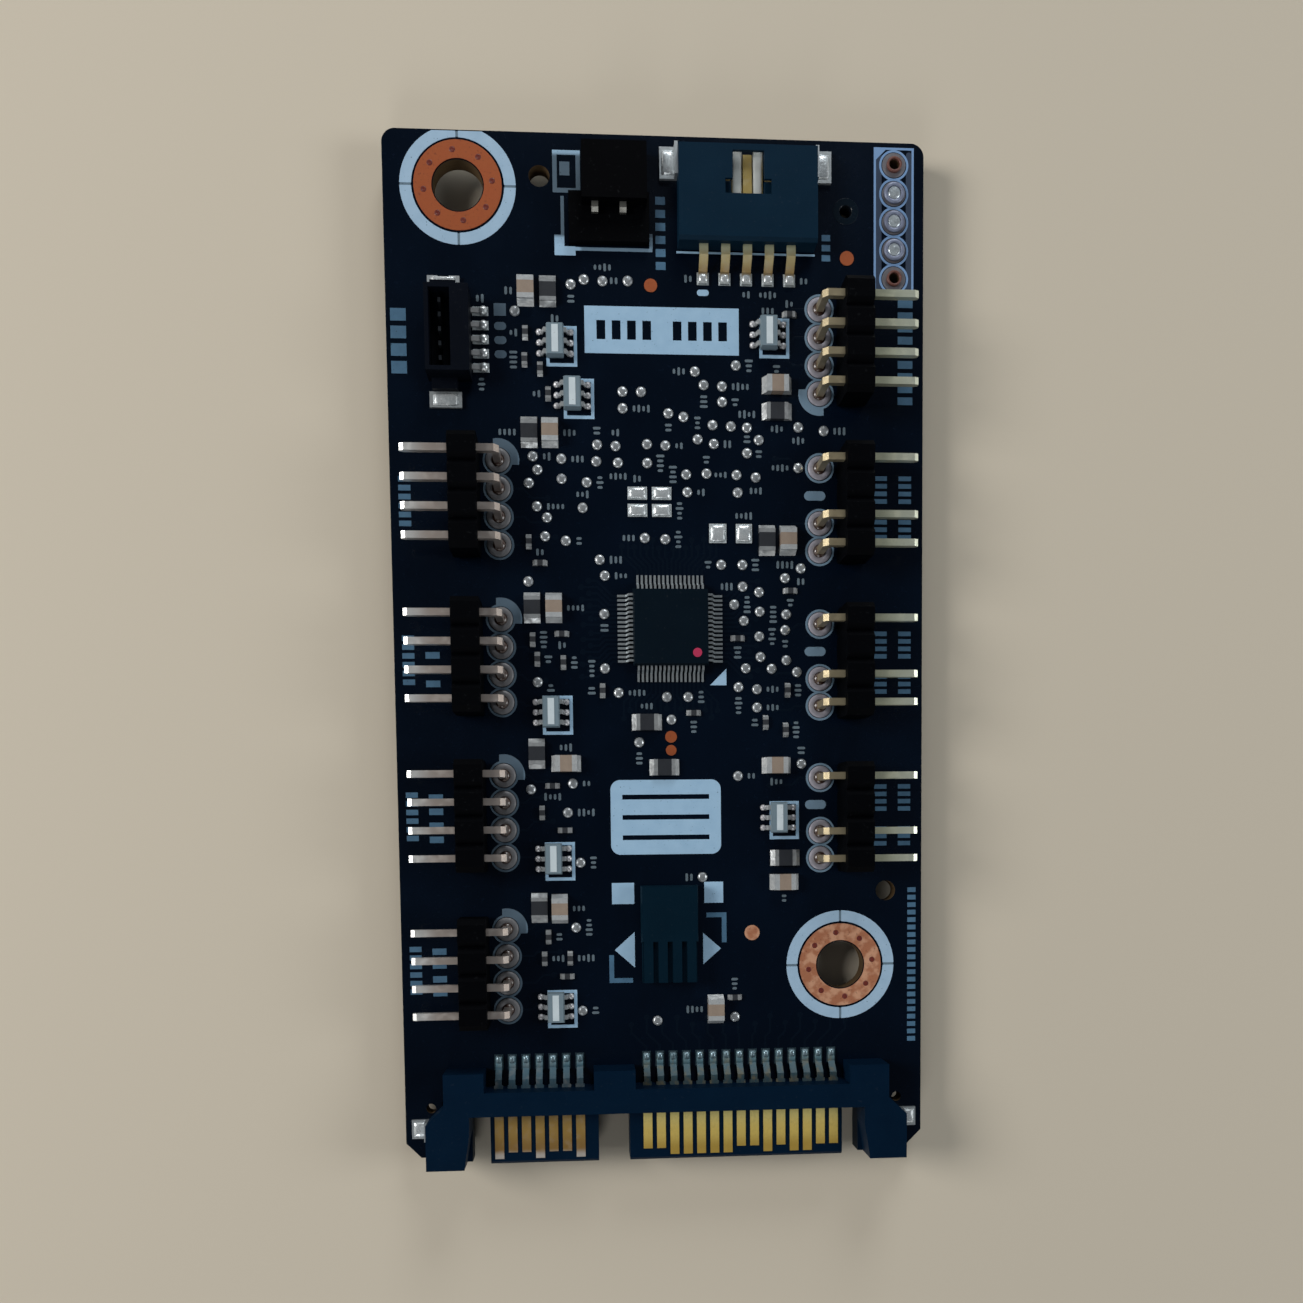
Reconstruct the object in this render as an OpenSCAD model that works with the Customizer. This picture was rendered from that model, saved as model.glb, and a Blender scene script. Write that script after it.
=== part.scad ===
// Lamp controller board with a drive-style plug, eight side headers and three small sockets.
// Frame: X across the board, Y towards the far edge, Z up from the face of the component side.
// The origin is at the middle of the overall length and width, level with the ends of the pin tails.

/* [Board] */
// Width of the circuit board
board_w = 49.4; // [48.8:0.2:56]
// Length of the circuit board
board_l = 93.6; // [93:0.2:104]
// Thickness of the circuit board
board_t = 1.6; // [1:0.2:2.4]
// Radius of the two far corners
corner_r = 1.2; // [0.4:0.2:2.4]
// Chamfer on the ends of the two legs beside the plug
leg_chamfer = 1.4; // [0.4:0.2:2]
// Thickness of the copper pads
pad_t = 0.06; // [0.04:0.01:0.1]
// Thickness of the print
print_t = 0.03; // [0.02:0.01:0.06]

/* [Mounting holes] */
// Diameter of the two mounting holes
mount_d = 4.5; // [3.2:0.1:5]
// Outer diameter of the copper ring
mount_copper_d = 7.9; // [7:0.1:8]
// Width of the printed ring
mount_print_w = 1.05; // [0.4:0.05:1.2]
// Diameter of the small holes in the copper ring
stitch_d = 0.5; // [0.2:0.1:0.6]

/* [Side headers] */
// Pitch of the pins in a header
pin_pitch = 2.54; // [2.4:0.02:2.6]
// Thickness of a square pin
pin_w = 0.64; // [0.4:0.02:0.7]
// Height of the pin axis above the board
pin_h = 3.05; // [2:0.05:3.4]
// Length of the pin tails below the board
tail_l = 1.4; // [1.2:0.1:2.4]
// Distance from a pin's hole to its tip
pin_reach = 8.4; // [7:0.1:9]
// Distance from a pin's hole to the header body
header_gap = 1.65; // [1.5:0.05:2]
// Depth of a header body
header_d = 2.5; // [2:0.1:2.8]
// Plastic above the pin axis
header_cap = 1.27; // [0.8:0.01:1.6]
// Diameter of the through holes for pins
pin_hole_d = 1.06; // [1:0.02:1.2]
// Diameter of the ring pads
ring_pad_d = 2; // [1.8:0.05:2.2]

/* [Plug] */
// Pitch of the plug contacts
plug_pitch = 1.27; // [1.2:0.01:1.3]
// Width over both blades of the plug
blade_w = 33.4; // [33.2:0.1:34]
// Thickness of a blade
blade_t = 1.23; // [1:0.01:1.4]
// Height of the blades' contact face above the board
blade_h = 1.1; // [0.9:0.05:1.4]
// Height of the plug housing above the board
plug_h = 2.9; // [2.2:0.1:4]
// How far the plug housing reaches below the board's upper face
plug_drop = 2.1; // [1.8:0.1:2.6]
// How far the plug reaches past the board's legs
plug_overhang = 0.5; // [0.2:0.1:1.5]
// Gap between a blade and the guide arm beside it
arm_gap = 1.8; // [1:0.1:2]
// Width of a guide arm
arm_w = 4; // [3.4:0.1:4.2]
// Width of a contact on the blade
contact_w = 0.84; // [0.6:0.02:0.9]
// Width of a contact's tail
contact_tail_w = 0.6; // [0.4:0.02:0.6]

/* [Lamp socket] */
// Width of the lamp socket body
lamp_w = 12.6; // [11.4:0.1:13]
// Depth of the lamp socket body
lamp_d = 8.3; // [7:0.1:8.6]
// Height of the lamp socket body
lamp_h = 2; // [1.8:0.1:3]
// Pitch of the lamp socket contacts
lamp_pitch = 2; // [1.6:0.05:2.1]

/* [Switch socket] */
// Width of the switch socket block
switch_w = 5.85; // [5:0.05:6]
// Height of the switch socket block
switch_h = 2; // [1.8:0.1:3]
// Pitch of the switch socket pins
switch_pitch = 2.54; // [2:0.02:2.6]

/* [Side socket] */
// Width of the side socket body
side_w = 3.9; // [3.6:0.1:4.2]
// Length of the side socket body
side_l = 7.5; // [7:0.1:7.6]
// Height of the side socket body
side_h = 2.6; // [2.4:0.1:4]
// Pitch of the side socket contacts
side_pitch = 1.25; // [1:0.01:1.3]

/* [Controller] */
// Side of the controller's square body
chip_s = 7; // [6.6:0.1:7.2]
// Height of the controller's top above the board
chip_h = 1.5; // [1:0.1:2]
// Pitch of the controller's leads
chip_pitch = 0.4; // [0.36:0.01:0.41]
// Leads on each side of the controller
chip_leads = 16; // [8:1:16]

/* [Memory chip] */
// Width of the flat memory chip
memory_w = 5.4; // [4.8:0.1:5.6]
// Length of the flat memory chip
memory_l = 9.1; // [8:0.1:9.4]
// Height of the flat memory chip
memory_h = 1.6; // [1:0.1:2]

/* [Six-lead chips] */
// Length of a six-lead chip's body
six_l = 2.9; // [2.6:0.1:3]
// Width of a six-lead chip's body
six_w = 1.6; // [1.4:0.1:1.7]
// Height of a six-lead chip's top above the board
six_h = 1.15; // [0.8:0.05:1.5]
// Pitch of a six-lead chip's leads
six_pitch = 0.95; // [0.85:0.01:0.98]

/* [Hidden] */
cut = 1;           // how far a cutting shape runs past the face it opens
sliver = 0.1;      // overlap that joins two shapes of one piece
round_fn = 16;     // sides of small round pads and dots
hole_fn = 64;      // sides of the mounting holes and rings

// Levels and edges
board_top = tail_l + board_t;
y_far = (board_l + plug_overhang) / 2;
y_plug = -y_far;
y_leg = y_far - board_l;
x_edge = board_w / 2;

// The layout is drawn on a grid that stretches with the board. Its steps are counted across and
// along the board, and its zero row lies a little above the middle.
layout_steps = [49.4, 93.6];
zero_row = 3.1;
grid_x = board_w / layout_steps[0];
grid_y = board_l / layout_steps[1];
function row_y(row) = (y_far + y_leg) / 2 + (row + zero_row) * grid_y;
function spot(place) = [place[0] * grid_x, row_y(place[1])];

// Mounting holes, from the corner and from the plug's front
mount_a = [-x_edge + 6.7, y_far - 4.8];
mount_b = [x_edge - 7.9, y_plug + 18.15];
mount_copper_gap = 0.1;
mount_print_gap = 0.2;
mount_print_r = mount_copper_d / 2 + mount_print_gap;
print_break = 0.22;                // each of the four breaks in a printed ring
print_margin = 0.1;                // print stops this far from the board's edge

// Tooling holes: place and diameter
tooling = [[[-10.7, 39.9], 1.9], [[21.2, -25.2], 1.9], [[17.4, 37.5], 1.2]];
peg_hole_d = 0.9;
peg_hole_from_plug = 5.2;
peg_hole_inset = 0.2;              // peg hole's centre inside the guide arm's outer face

// Header columns and groups: each group is its first pin's Y and the slots that hold pins
column_x = 14.9 * grid_x;
all_slots = [0, 1, 2, 3];
keyed_slots = [0, 2, 3];
group_rows = 14.36;
right_groups = [for (i = [0:3]) [row_y(28.67 - i * group_rows), i == 0 ? all_slots : keyed_slots]];
left_groups = [for (i = [0:3]) [row_y(14.72 - i * group_rows), all_slots]];
function slot_ys(groups) = [for (g = groups, s = g[1]) g[0] - s * pin_pitch];
pin_r = pin_w / 2;
pin_point = 0.35;                  // length of a pin's pointed end
pin_bend = 0.45;                   // chamfer on the outside of a pin's bend
header_flat = 1.5;                 // width of the flat top of one header slot
header_line = 0.2;                 // width of the printed circle round a header's hole

// Spare row along the far right edge
spare_x = x_edge - 2.8;
spare_ys = [for (i = [0:4]) y_far - 2 - i * pin_pitch];
spare_pad_d = 2.2;
spare_line = 0.2;                  // width of the printed lines round the spare row
spare_margin = 0.3;                // printed frame outside the printed circles
spare_corner = 1.1;                // filled corner at the row's first hole

// Solder joints under the board
joint_h = 0.9;
joint_r = 0.95;
joint_tip_r = pin_w * 0.5 * sqrt(2) + 0.1;
spare_dome_h = 0.25;
spare_dome_r = [0.85, 0.5];

// Plug: distances behind its front face
bar_front = 4.93;
bar_rear = 7.16;
block_rear = 8.95;
notch_depth = 5.8;
leg_play = 0.1;
lower_arm_x = blade_w / 2 + 4.5;
block_in = blade_w / 2 + 0.4;
block_out = blade_w / 2 + 4.1;
shoulder = [0.9, 0.7];             // shoulder of the guide arm, behind and before the bar's front
arm_taper = [0.5, 3.2];            // widening of the gap at the guide arm's mouth, and its length
key_block = [-6.95, -3.1];
key_margin = 1.7;                  // plastic beside the contacts next to the key
key_w = 1.05;
blade_bevel = 0.25;
contact_t = 0.18;
contact_sunk = 0.1;                // depth of a contact's groove in the blade
contact_back = 0.5;                // a long contact's distance behind the front
contact_back_short = 1.1;
contact_z = blade_h - contact_sunk;
first_signal = -12.5 * plug_pitch;
last_signal = first_signal + 6 * plug_pitch;
first_power = last_signal + 5 * plug_pitch;
signal_xs = [for (i = [0:6]) first_signal + i * plug_pitch];
power_xs = [for (i = [0:14]) first_power + i * plug_pitch];
long_signals = [0, 3, 6];
short_powers = [0, 1, 7, 8, 10, 13, 14];
tail_drop_from = bar_rear + 0.75;  // where a contact's tail starts to slope down
foot_from = 8.9;
foot_to = 10;
foot_pad = [0.85, 1.5];
arm_in = blade_w / 2 + arm_gap;
arm_out = arm_in + arm_w;
plug_tab_foot = 1.6;
plug_tab_h = 1.6;
plug_tab_l = 1.8;
plug_tab_y = 3.3;
tab_t = 0.3;

// Lamp socket
lamp_x = 8.1 * grid_x;
lamp_rear = y_far - 9.95;
lamp_front = lamp_rear + lamp_d;
lamp_wall = 0.95;
lamp_rear_wall = 2.75;
lamp_floor = 0.4;
lamp_roof = 0.3;
lamp_window = [2.85, 3.75];        // window over the latch
lamp_window_y = 4;
lamp_window_foot = [4.2, 1.3];     // wider part of the window, towards the rear
lamp_rear_chamfer = 0.28;
lamp_contact_w = 0.8;
lamp_contact_t = 0.25;
lamp_contact_z = 0.95;
lamp_contact_tip = 0.5;            // contact's end behind the socket's mouth
lamp_shoulder = 0.95;
lamp_knee = 2.05;
lamp_foot = 3.1;
lamp_foot_pad = [1.1, 1.1];
lamp_tab_l = 2.8;
lamp_tab_w = 1.6;
lamp_tab_h = 1.2;
lamp_tab_back = 0.85;              // side tab's middle behind the socket's mouth
lamp_xs = [for (i = [-2:2]) lamp_x + i * lamp_pitch];

// Switch socket, beside the lamp socket's side tab
socket_gap = 1;
switch_base = [7.3, 4.35, 0.8];
switch_x = lamp_x - lamp_w / 2 - lamp_tab_w - socket_gap - switch_base[0] / 2;
switch_base_y = y_far - 9.75;
switch_block_x = switch_x + 0.48;
switch_rear = y_far - 6.6;
switch_front = y_far - 1.65;
switch_pin_w = 0.6;
switch_pin_h = 1.1;
switch_pin_tip = 0.4;              // pin's end behind the socket's mouth
switch_leg_y = y_far - 7.1;
switch_mouth = [4.4, 3.6, 1.1];
switch_mouth_z = 0.5;
switch_xs = [switch_x - switch_pitch / 2, switch_x + switch_pitch / 2];

// Side socket
side_c = spot([-19, 25.4]);
side_wall = 0.38;
side_thick_wall = 1.65;
side_floor = 0.6;
side_pin_x = side_c[0] - 0.66;
side_contact_w = 0.4;
side_contact_t = 0.25;
side_tail = 1.45;
side_pad_w = 0.8;
side_pin_top = side_h - 0.5;
side_ear = [2.3, 1, 1];
side_ear_x = -0.45;
side_tab = [2.9, 1.4, 0.3];
side_fork = [0.7, 0.45, 0.95];     // far tab's length, its slot's depth and its prongs' width
side_ys = [for (i = [-2:2]) side_c[1] + i * side_pitch];

// Controller
chip_c = spot([0.77, -0.52]);
chip_gap = 0.1;
chip_draft = 0.12;
chip_lead_w = 0.2;
chip_lead_t = 0.14;
chip_lead_reach = 1.4;
chip_dot_r = 0.42;
chip_dot_off = 2.4;

// Memory chip
memory_c = spot([0.36, -28.95]);
memory_ribbed = 3.75;
memory_ribs = 4;
memory_rib_w = 0.85;
memory_rib_h = 0.35;
memory_draft = 0.12;

// Six-lead chips
six_places = [
  [-9.5, 25.2], [-8, 20.55], [10.1, 26.25], [-10.4, -8.2], [-10.4, -21.8], [-10.4, -35.75], [10.85, -18.15]
];
six_gap = 0.1;
six_draft = 0.1;
six_lead_w = 0.42;
six_lead_t = 0.15;
six_lead_reach = 0.85;
six_stripe = [0.6, 2.4];
six_frame = [2.8, 3.6];            // printed frame beside a six-lead chip
six_frame_at = [0.6, -0.25];
six_frame_line = 0.3;

// Capacitors and resistors: body, end caps and places. An end is its cap's length and its solder's.
cap_size = [1.1, 1.5, 0.9];
res_size = [1.3, 1.5, 0.5];
small_size = [0.5, 0.5, 0.32];
cap_end = [0.45, 0.38];
res_end = [0.35, 0.4];
small_end = [0.25, 0.18];
cap_places = [
  [-12.1, 29.8, 90], [-10.1, 17.25, 90], [-10, 1.4, 90], [-9.1, -12.95, 0], [-9.9, -26.5, 90],
  [10.9, 21.7, 0], [11.85, 7.65, 90], [10.7, -13.25, 0], [11.4, -24.25, 0], [4.75, -36.3, 90]
];
res_places = [
  [-10.1, 29.8, 90], [-12, 17.25, 90], [-12, 1.4, 90], [-11.8, -12, 90], [-11.8, -26.4, 90],
  [10.9, 19.35, 0], [9.9, 7.65, 90], [11.5, -21.95, 0], [-1.5, -9.15, 0], [0.1, -13.35, 0]
];
small_places = [
  [-12.2, 26.1, 90], [-12.3, 23.7, 90], [-10.9, 22.9, 90], [-12, -1.5, 90], [-5.6, -6.2, 90],
  [-11.4, -17.5, 90], [-10.4, -15, 0], [-9.3, -19.15, 0], [-11, -29.15, 90], [-11.4, -31.2, 90],
  [-9, -31.2, 90], [-9.3, -32.9, 0], [7.1, -1.4, 0], [9.7, -9.2, 90], [11.6, -9.9, 90],
  [-11.2, 5.45, 0], [-12.2, 7.4, 90], [-9.2, -3.6, 90], [2.9, -8.3, 0], [6.6, -35.2, 0],
  [-11.6, -3.3, 90], [12.1, 3, 0], [11.8, -6.2, 90], [-9.3, -1, 0], [12.1, 28.1, 0], [-10.2, 20.7, 90]
];

// Tinned test dots
dot_r = 0.46;
dot_t = 0.05;
dot_places = [
  [-8, 30.45], [-6.8, 30.9], [-5.1, 30.8], [-2.8, 30.85], [-13.1, 28], [-3.4, 21], [-1.7, 21], [-3.4, 19.5],
  [-5.8, 16.2], [-4.1, 16.1], [-5.9, 14.7], [-3.9, 14.6], [-9.1, 14.9], [-9.1, 13.1], [-6.8, 12.8],
  [-11.7, 15.1], [-11.3, 13.9], [-12.1, 12.7], [-11.4, 10.6], [-10.5, 9.6], [-10.7, 7.9], [-1.2, 16.3],
  [-1.2, 14.6], [7.1, 23.5], [4.1, 21.7], [5.8, 21.6], [5.8, 20.2], [3.3, 22.9], [0.8, 19.1], [2.2, 18.8],
  [4.9, 18.1], [6.6, 18], [8.1, 17.9], [3.5, 16.8], [5, 16.4], [9.2, 16.8], [0.5, 16.2], [8.1, 15.6],
  [2.4, 13.6], [4.3, 13.7], [7.1, 13.6], [8.9, 13.4], [2.5, 12], [7.2, 12], [15.3, 17.7], [12.9, 18],
  [-1.5, 7.8], [0.4, 7.7], [5.6, 5.4], [7.6, 5.4], [7.6, 3.4], [9.15, 2.9], [6.8, 1.75], [9.2, 1.1],
  [7.7, 0.25], [9.15, -1.2], [9.25, -3.1], [7.85, -4.15], [7.15, -5.9], [8.9, -6.1], [8.9, -7.8],
  [11.7, 0.85], [11.6, -0.6], [11.7, -3.4], [11.6, 4.2], [13.1, 5.1], [0.8, -8.9], [0.4, -6.8], [2.4, -6.8],
  [-5.25, 4.35], [-5.35, 0.85], [-5.35, -4.15], [-4.1, -6.4], [-5.7, 5.8], [-2.25, -11], [7.05, -14.2],
  [-0.8, -37.3], [6.6, -37.1], [-8.4, -28.3], [3.6, -23.7], [-8.5, -14.8], [-12.4, -15.3],
  [-9, -17.5], [12.9, 14.3], [13.1, -13.1], [12.7, -4.5], [10.3, -4.2], [-7.9, -22.2], [-7.9, -36.2],
  [-12.3, 3.8], [-11.6, -5.4], [-8.8, 7.5], [-7.2, 10.5]
];

// Bare copper dots: place and radius
copper_places = [[8.3, -29.05, 0.72], [0.75, -10.5, 0.55], [0.75, -11.75, 0.5], [17.5, 33.3, 0.65], [-0.7, 30.5, 0.6]];

// Open tinned pads: centre and size
open_pads = [
  [-2.15, 11.85, 1.8, 1.15], [0.1, 11.85, 1.8, 1.15], [-2.15, 10.3, 1.8, 1.15], [0.1, 10.3, 1.8, 1.15],
  [5.3, 8.25, 1.6, 1.75], [7.75, 8.25, 1.5, 1.75]
];
open_pad_t = 0.12;

// White label and the plain write-on panel
label_at = [0.3, 26.5];
label_size = [14.2, 4.2];
label_bar = [0.8, 1.7];
label_step = 1.4;
panel_at = [0.2, -18];
panel_size = [10.4, 7];
panel_corner_r = 0.9;
panel_rule = 0.45;
panel_step = 1.9;
panel_rule_margin = 1.1;

// Places children on the board's upper face at a grid place
module at_spot(place) translate([spot(place)[0], spot(place)[1], board_top]) children();

// Moulded body standing on z = 0: an upright band where the leads leave it, and drafted sides
// above and below the band
module moulded_block(w, l, h, draft, band)
  intersection() {
    rotate([90, 0, 0]) linear_extrude(l, center = true) drafted_profile(w, h, draft, band);
    rotate([90, 0, 90]) linear_extrude(w, center = true) drafted_profile(l, h, draft, band);
  }

module drafted_profile(w, h, draft, band)
  polygon([
    [-w / 2 + draft, 0], [w / 2 - draft, 0], [w / 2, (h - band) / 2], [w / 2, (h + band) / 2],
    [w / 2 - draft, h], [-w / 2 + draft, h], [-w / 2, (h + band) / 2], [-w / 2, (h - band) / 2]
  ]);

// ---------- Board ----------

module far_corner_cut(side)
  translate([side * (x_edge - corner_r), y_far - corner_r])
    difference() {
      translate([side > 0 ? 0 : -corner_r - cut, 0]) square(corner_r + cut);
      circle(corner_r, $fn = 32);
    }

module leg_cut(side)
  polygon([
    [side * (x_edge + cut), y_leg - cut],
    [side * (x_edge + cut), y_leg + leg_chamfer + cut],
    [side * (x_edge - leg_chamfer - cut), y_leg - cut]
  ]);

module board_outline()
  difference() {
    translate([-x_edge, y_leg]) square([board_w, board_l]);
    for (side = [-1, 1]) {
      far_corner_cut(side);
      leg_cut(side);
    }
    translate([-lower_arm_x - leg_play, y_leg - cut])
      square([2 * (lower_arm_x + leg_play), y_plug + notch_depth - y_leg + cut]);
  }

module hole_at(place, d, fn) translate(place) circle(d = d, $fn = fn);

module board_holes() {
  for (place = [mount_a, mount_b]) hole_at(place, mount_d, hole_fn);
  for (y = slot_ys(left_groups)) hole_at([-column_x, y], pin_hole_d, round_fn);
  for (y = slot_ys(right_groups)) hole_at([column_x, y], pin_hole_d, round_fn);
  for (y = spare_ys) hole_at([spare_x, y], pin_hole_d, round_fn);
  for (x = switch_xs) hole_at([x, switch_leg_y], pin_hole_d, round_fn);
  for (hole = tooling) hole_at(spot(hole[0]), hole[1], round_fn);
  for (side = [-1, 1])
    hole_at([side * (arm_out - peg_hole_inset), y_plug + peg_hole_from_plug], peg_hole_d, round_fn);
}

module circuit_board()
  color("#0c1424") translate([0, 0, tail_l])
    linear_extrude(board_t) difference() {
      board_outline();
      board_holes();
    }

module mount_copper()
  color("#d9743c")
    for (place = [mount_a, mount_b])
      translate([place[0], place[1], board_top]) linear_extrude(pad_t)
        difference() {
          circle(d = mount_copper_d, $fn = hole_fn);
          circle(mount_d / 2 + mount_copper_gap, $fn = hole_fn);
          for (i = [0:7]) rotate(45 * i + 8) translate([(mount_copper_d + mount_d) / 4, 0])
            circle(d = stitch_d, $fn = 8);
        }

module copper_dots()
  color("#d9743c")
    for (dot = copper_places) at_spot(dot) cylinder(pad_t, r = dot[2], $fn = 24);

// ---------- Print ----------

// Printed ring with four breaks, cut off where it would pass the board's edge
module mount_print()
  color("#dfe9f2") translate([0, 0, board_top])
    linear_extrude(print_t) intersection() {
      translate([-x_edge + print_margin, y_leg]) square([board_w - 2 * print_margin, board_l - print_margin]);
      for (place = [mount_a, mount_b]) translate(place)
        difference() {
          circle(mount_print_r + mount_print_w, $fn = hole_fn);
          circle(mount_print_r, $fn = hole_fn);
          for (a = [0, 90]) rotate(a) square([3 * mount_copper_d, print_break], center = true);
        }
    }

// Rectangle given by its centre and size
module field(x, y, w, l) translate([x, y]) square([w, l], center = true);

// Open frame given by its centre and outer size
module frame_line(x, y, w, l, line)
  difference() {
    field(x, y, w, l);
    field(x, y, w - 2 * line, l - 2 * line);
  }

// Rectangle with round corners, centred
module round_field(w, l, r) {
  square([w - 2 * r, l], center = true);
  square([w, l - 2 * r], center = true);
  for (sx = [-1, 1], sy = [-1, 1]) translate([sx * (w / 2 - r), sy * (l / 2 - r)]) circle(r, $fn = 24);
}

// Slot-shaped mark that lies along X
module pill(x, y, w, l) {
  field(x, y, w - l, l);
  for (side = [-1, 1]) translate([x + side * (w - l) / 2, y]) circle(d = l, $fn = 16);
}

module print_ring(x, y, r_out, line)
  translate([x, y]) difference() {
    circle(r_out, $fn = 24);
    circle(r_out - line, $fn = 24);
  }

// Thick arc outside the first pin's printed circle
module first_pin_mark(x, y, turn)
  translate([x, y]) rotate(turn) intersection() {
    print_ring(0, 0, pin_pitch / 2 + 0.7, 0.6);
    translate([-0.4, -0.4]) square(pin_pitch);
  }

// Column of short bars that stands for a line of small print
module print_bars(x, y_from, y_to, w, bar, step)
  for (i = [0:floor((y_to - y_from - bar) / step)])
    field(x, y_from + bar / 2 + i * step, w, bar);

module label_print()
  translate(spot(label_at)) difference() {
    square(label_size, center = true);
    for (i = [-4:4]) if (i != 0) translate([i * label_step, 0]) square(label_bar, center = true);
  }

module panel_print()
  translate(spot(panel_at)) difference() {
    round_field(panel_size[0], panel_size[1], panel_corner_r);
    for (i = [-1:1]) field(0, i * panel_step, panel_size[0] - 2 * panel_rule_margin, panel_rule);
  }

// Squares and arrows beside the memory chip
module memory_print()
  translate(memory_c) {
    edge = memory_w / 2;
    field(-edge - 1.6, 3.8, 2.1, 2);
    field(edge + 1.6, 3.8, 1.8, 2);
    polygon([[-edge - 0.55, 0.15], [-edge - 0.55, -3.25], [-edge - 2.45, -1.55]]);
    polygon([[edge + 0.55, -0.05], [edge + 0.55, -3.05], [edge + 2.25, -1.55]]);
  }

module controller_print()
  translate(chip_c) {
    corner = chip_s / 2 + 0.2;
    polygon([[corner, -corner - 1.5], [corner + 1.55, -corner - 1.5], [corner + 1.55, -corner + 0.05]]);
  }

// Outline of the switch socket with a box at its first pin
module switch_print()
  translate([switch_x, switch_base_y]) {
    base_edge = switch_base[0] / 2;
    field(-base_edge - 0.55, 2.45, 0.3, 3.6);
    field(-0.15, -0.35, 8.2, 0.3);
    field(base_edge + 0.18, 0.45, 0.3, 1.3);
    field(-base_edge - 0.35, -0.55, 1.9, 0.8);
    field(-base_edge - 0.85, 0.35, 0.9, 1);
    frame_line(-base_edge - 0.14, 6.4, 2.5, 3.7, 0.4);
    field(-base_edge - 0.3, 6.65, 0.9, 1.2);
  }

module lamp_print()
  translate([lamp_x, lamp_rear]) {
    field(0, -0.25, lamp_w + 0.2, 0.18);
    pill(-2 * lamp_pitch, -3.8, 1.1, 0.55);
  }

// Frame and circles round the spare row
module spare_print() {
  circle_r = pin_pitch / 2 + spare_line / 2;
  for (y = spare_ys) print_ring(spare_x, y, circle_r, spare_line);
  translate([spare_x - circle_r - spare_margin - spare_line, spare_ys[0] + circle_r])
    polygon([[0, 0], [spare_corner, 0], [0, -spare_corner]]);
  frame_line(
    spare_x, (spare_ys[0] + spare_ys[4]) / 2,
    2 * (circle_r + spare_margin + spare_line), 4 * pin_pitch + 2 * (circle_r + spare_line), spare_line
  );
}

module side_print()
  translate([side_c[0] + side_w / 2 + side_tail, side_c[1]]) {
    field(1.15, 2.7, 1.1, 1.1);
    for (i = [-1:1]) pill(1.15, i * side_pitch, 1.1, 0.7);
  }

module header_marks() {
  circle_r = pin_pitch / 2 + header_line / 2;
  for (y = slot_ys(left_groups)) print_ring(-column_x, y, circle_r, header_line);
  for (y = slot_ys(right_groups)) print_ring(column_x, y, circle_r, header_line);
  for (g = right_groups) if (len(g[1]) < 4) pill(column_x - 0.45, g[0] - pin_pitch, 2, 0.85);
  for (g = left_groups) first_pin_mark(-column_x, g[0], 0);
  first_pin_mark(column_x, right_groups[0][0] - 3 * pin_pitch, 180);
}

module six_lead_frames()
  for (place = six_places) translate(spot(place))
    frame_line(six_frame_at[0], six_frame_at[1], six_frame[0], six_frame[1], six_frame_line);

module white_print()
  color("#e4edf5") translate([0, 0, board_top]) linear_extrude(print_t) {
    label_print();
    panel_print();
    memory_print();
    controller_print();
    switch_print();
    lamp_print();
    spare_print();
    side_print();
    header_marks();
    six_lead_frames();
  }

module memory_brackets()
  translate(memory_c) {
    field(4.54, 1.65, 1.9, 0.45);
    field(5.27, 0.45, 0.45, 2.85);
    field(-4.56, -4.45, 2.2, 0.45);
    field(-5.46, -3.35, 0.45, 2.65);
  }

module right_header_print() {
  for (i = [1:3]) for (inset = [1.7, 4]) {
    first = right_groups[i][0];
    print_bars(x_edge - inset, first - 3.2, first - 0.5, 1.2, 0.42, 0.7);
    print_bars(x_edge - inset, first - 6.5, first - 4.6, 1.2, 0.42, 0.7);
  }
  print_bars(x_edge - 1.7, right_groups[0][0] - 8.5, right_groups[0][0] + 1.2, 1.4, 0.7, 1.1);
}

module left_header_print()
  for (i = [0:3]) {
    first = left_groups[i][0];
    print_bars(-x_edge + 1.3, first - 6, first - 0.8, 1.1, 0.5, 0.8);
    if (i > 0) print_bars(-x_edge + 3.5, first - 6.2, first - 0.6, 1.3, 0.6, 1.3);
  }

module edge_print()
  color("#7fa3b5") translate([0, 0, board_top]) linear_extrude(print_t) {
    right_header_print();
    left_header_print();
    memory_brackets();
    print_bars(-x_edge + 1.1, side_c[1] - 3.1, side_c[1] + 3, 1.4, 1.1, 1.55);
    print_bars(x_edge - 0.95, mount_b[1] - 7.55, mount_b[1] + 7.85, 0.8, 0.45, 0.72);
    print_bars(switch_x + switch_base[0] / 2 + 1.05, switch_base_y - 2.05, lamp_rear + 5.25, 0.9, 0.7, 1.15);
    print_bars(lamp_x + lamp_w / 2 + 1.15, lamp_rear - 0.75, lamp_rear + 2.45, 0.8, 0.55, 0.9);
  }

// ---------- Side headers ----------

// One slot of a header body, seen along the pin
module header_slot_profile() {
  top = pin_h + header_cap;
  half = pin_pitch / 2;
  notch = half - header_flat / 2;
  polygon([
    [-half + notch / 2, 0], [half - notch / 2, 0], [half, notch], [half, top - notch],
    [half - notch, top], [-half + notch, top], [-half, top - notch], [-half, notch]
  ]);
}

// Header body on the right side, its first slot at the origin's Y; its channels fit the pins
module header_body(slots)
  translate([column_x + header_gap, 0, board_top])
    rotate([90, 0, 90]) linear_extrude(header_d)
      difference() {
        for (s = all_slots) translate([-s * pin_pitch, 0]) header_slot_profile();
        for (s = slots) translate([-s * pin_pitch, pin_h]) square(pin_w, center = true);
      }

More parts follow.
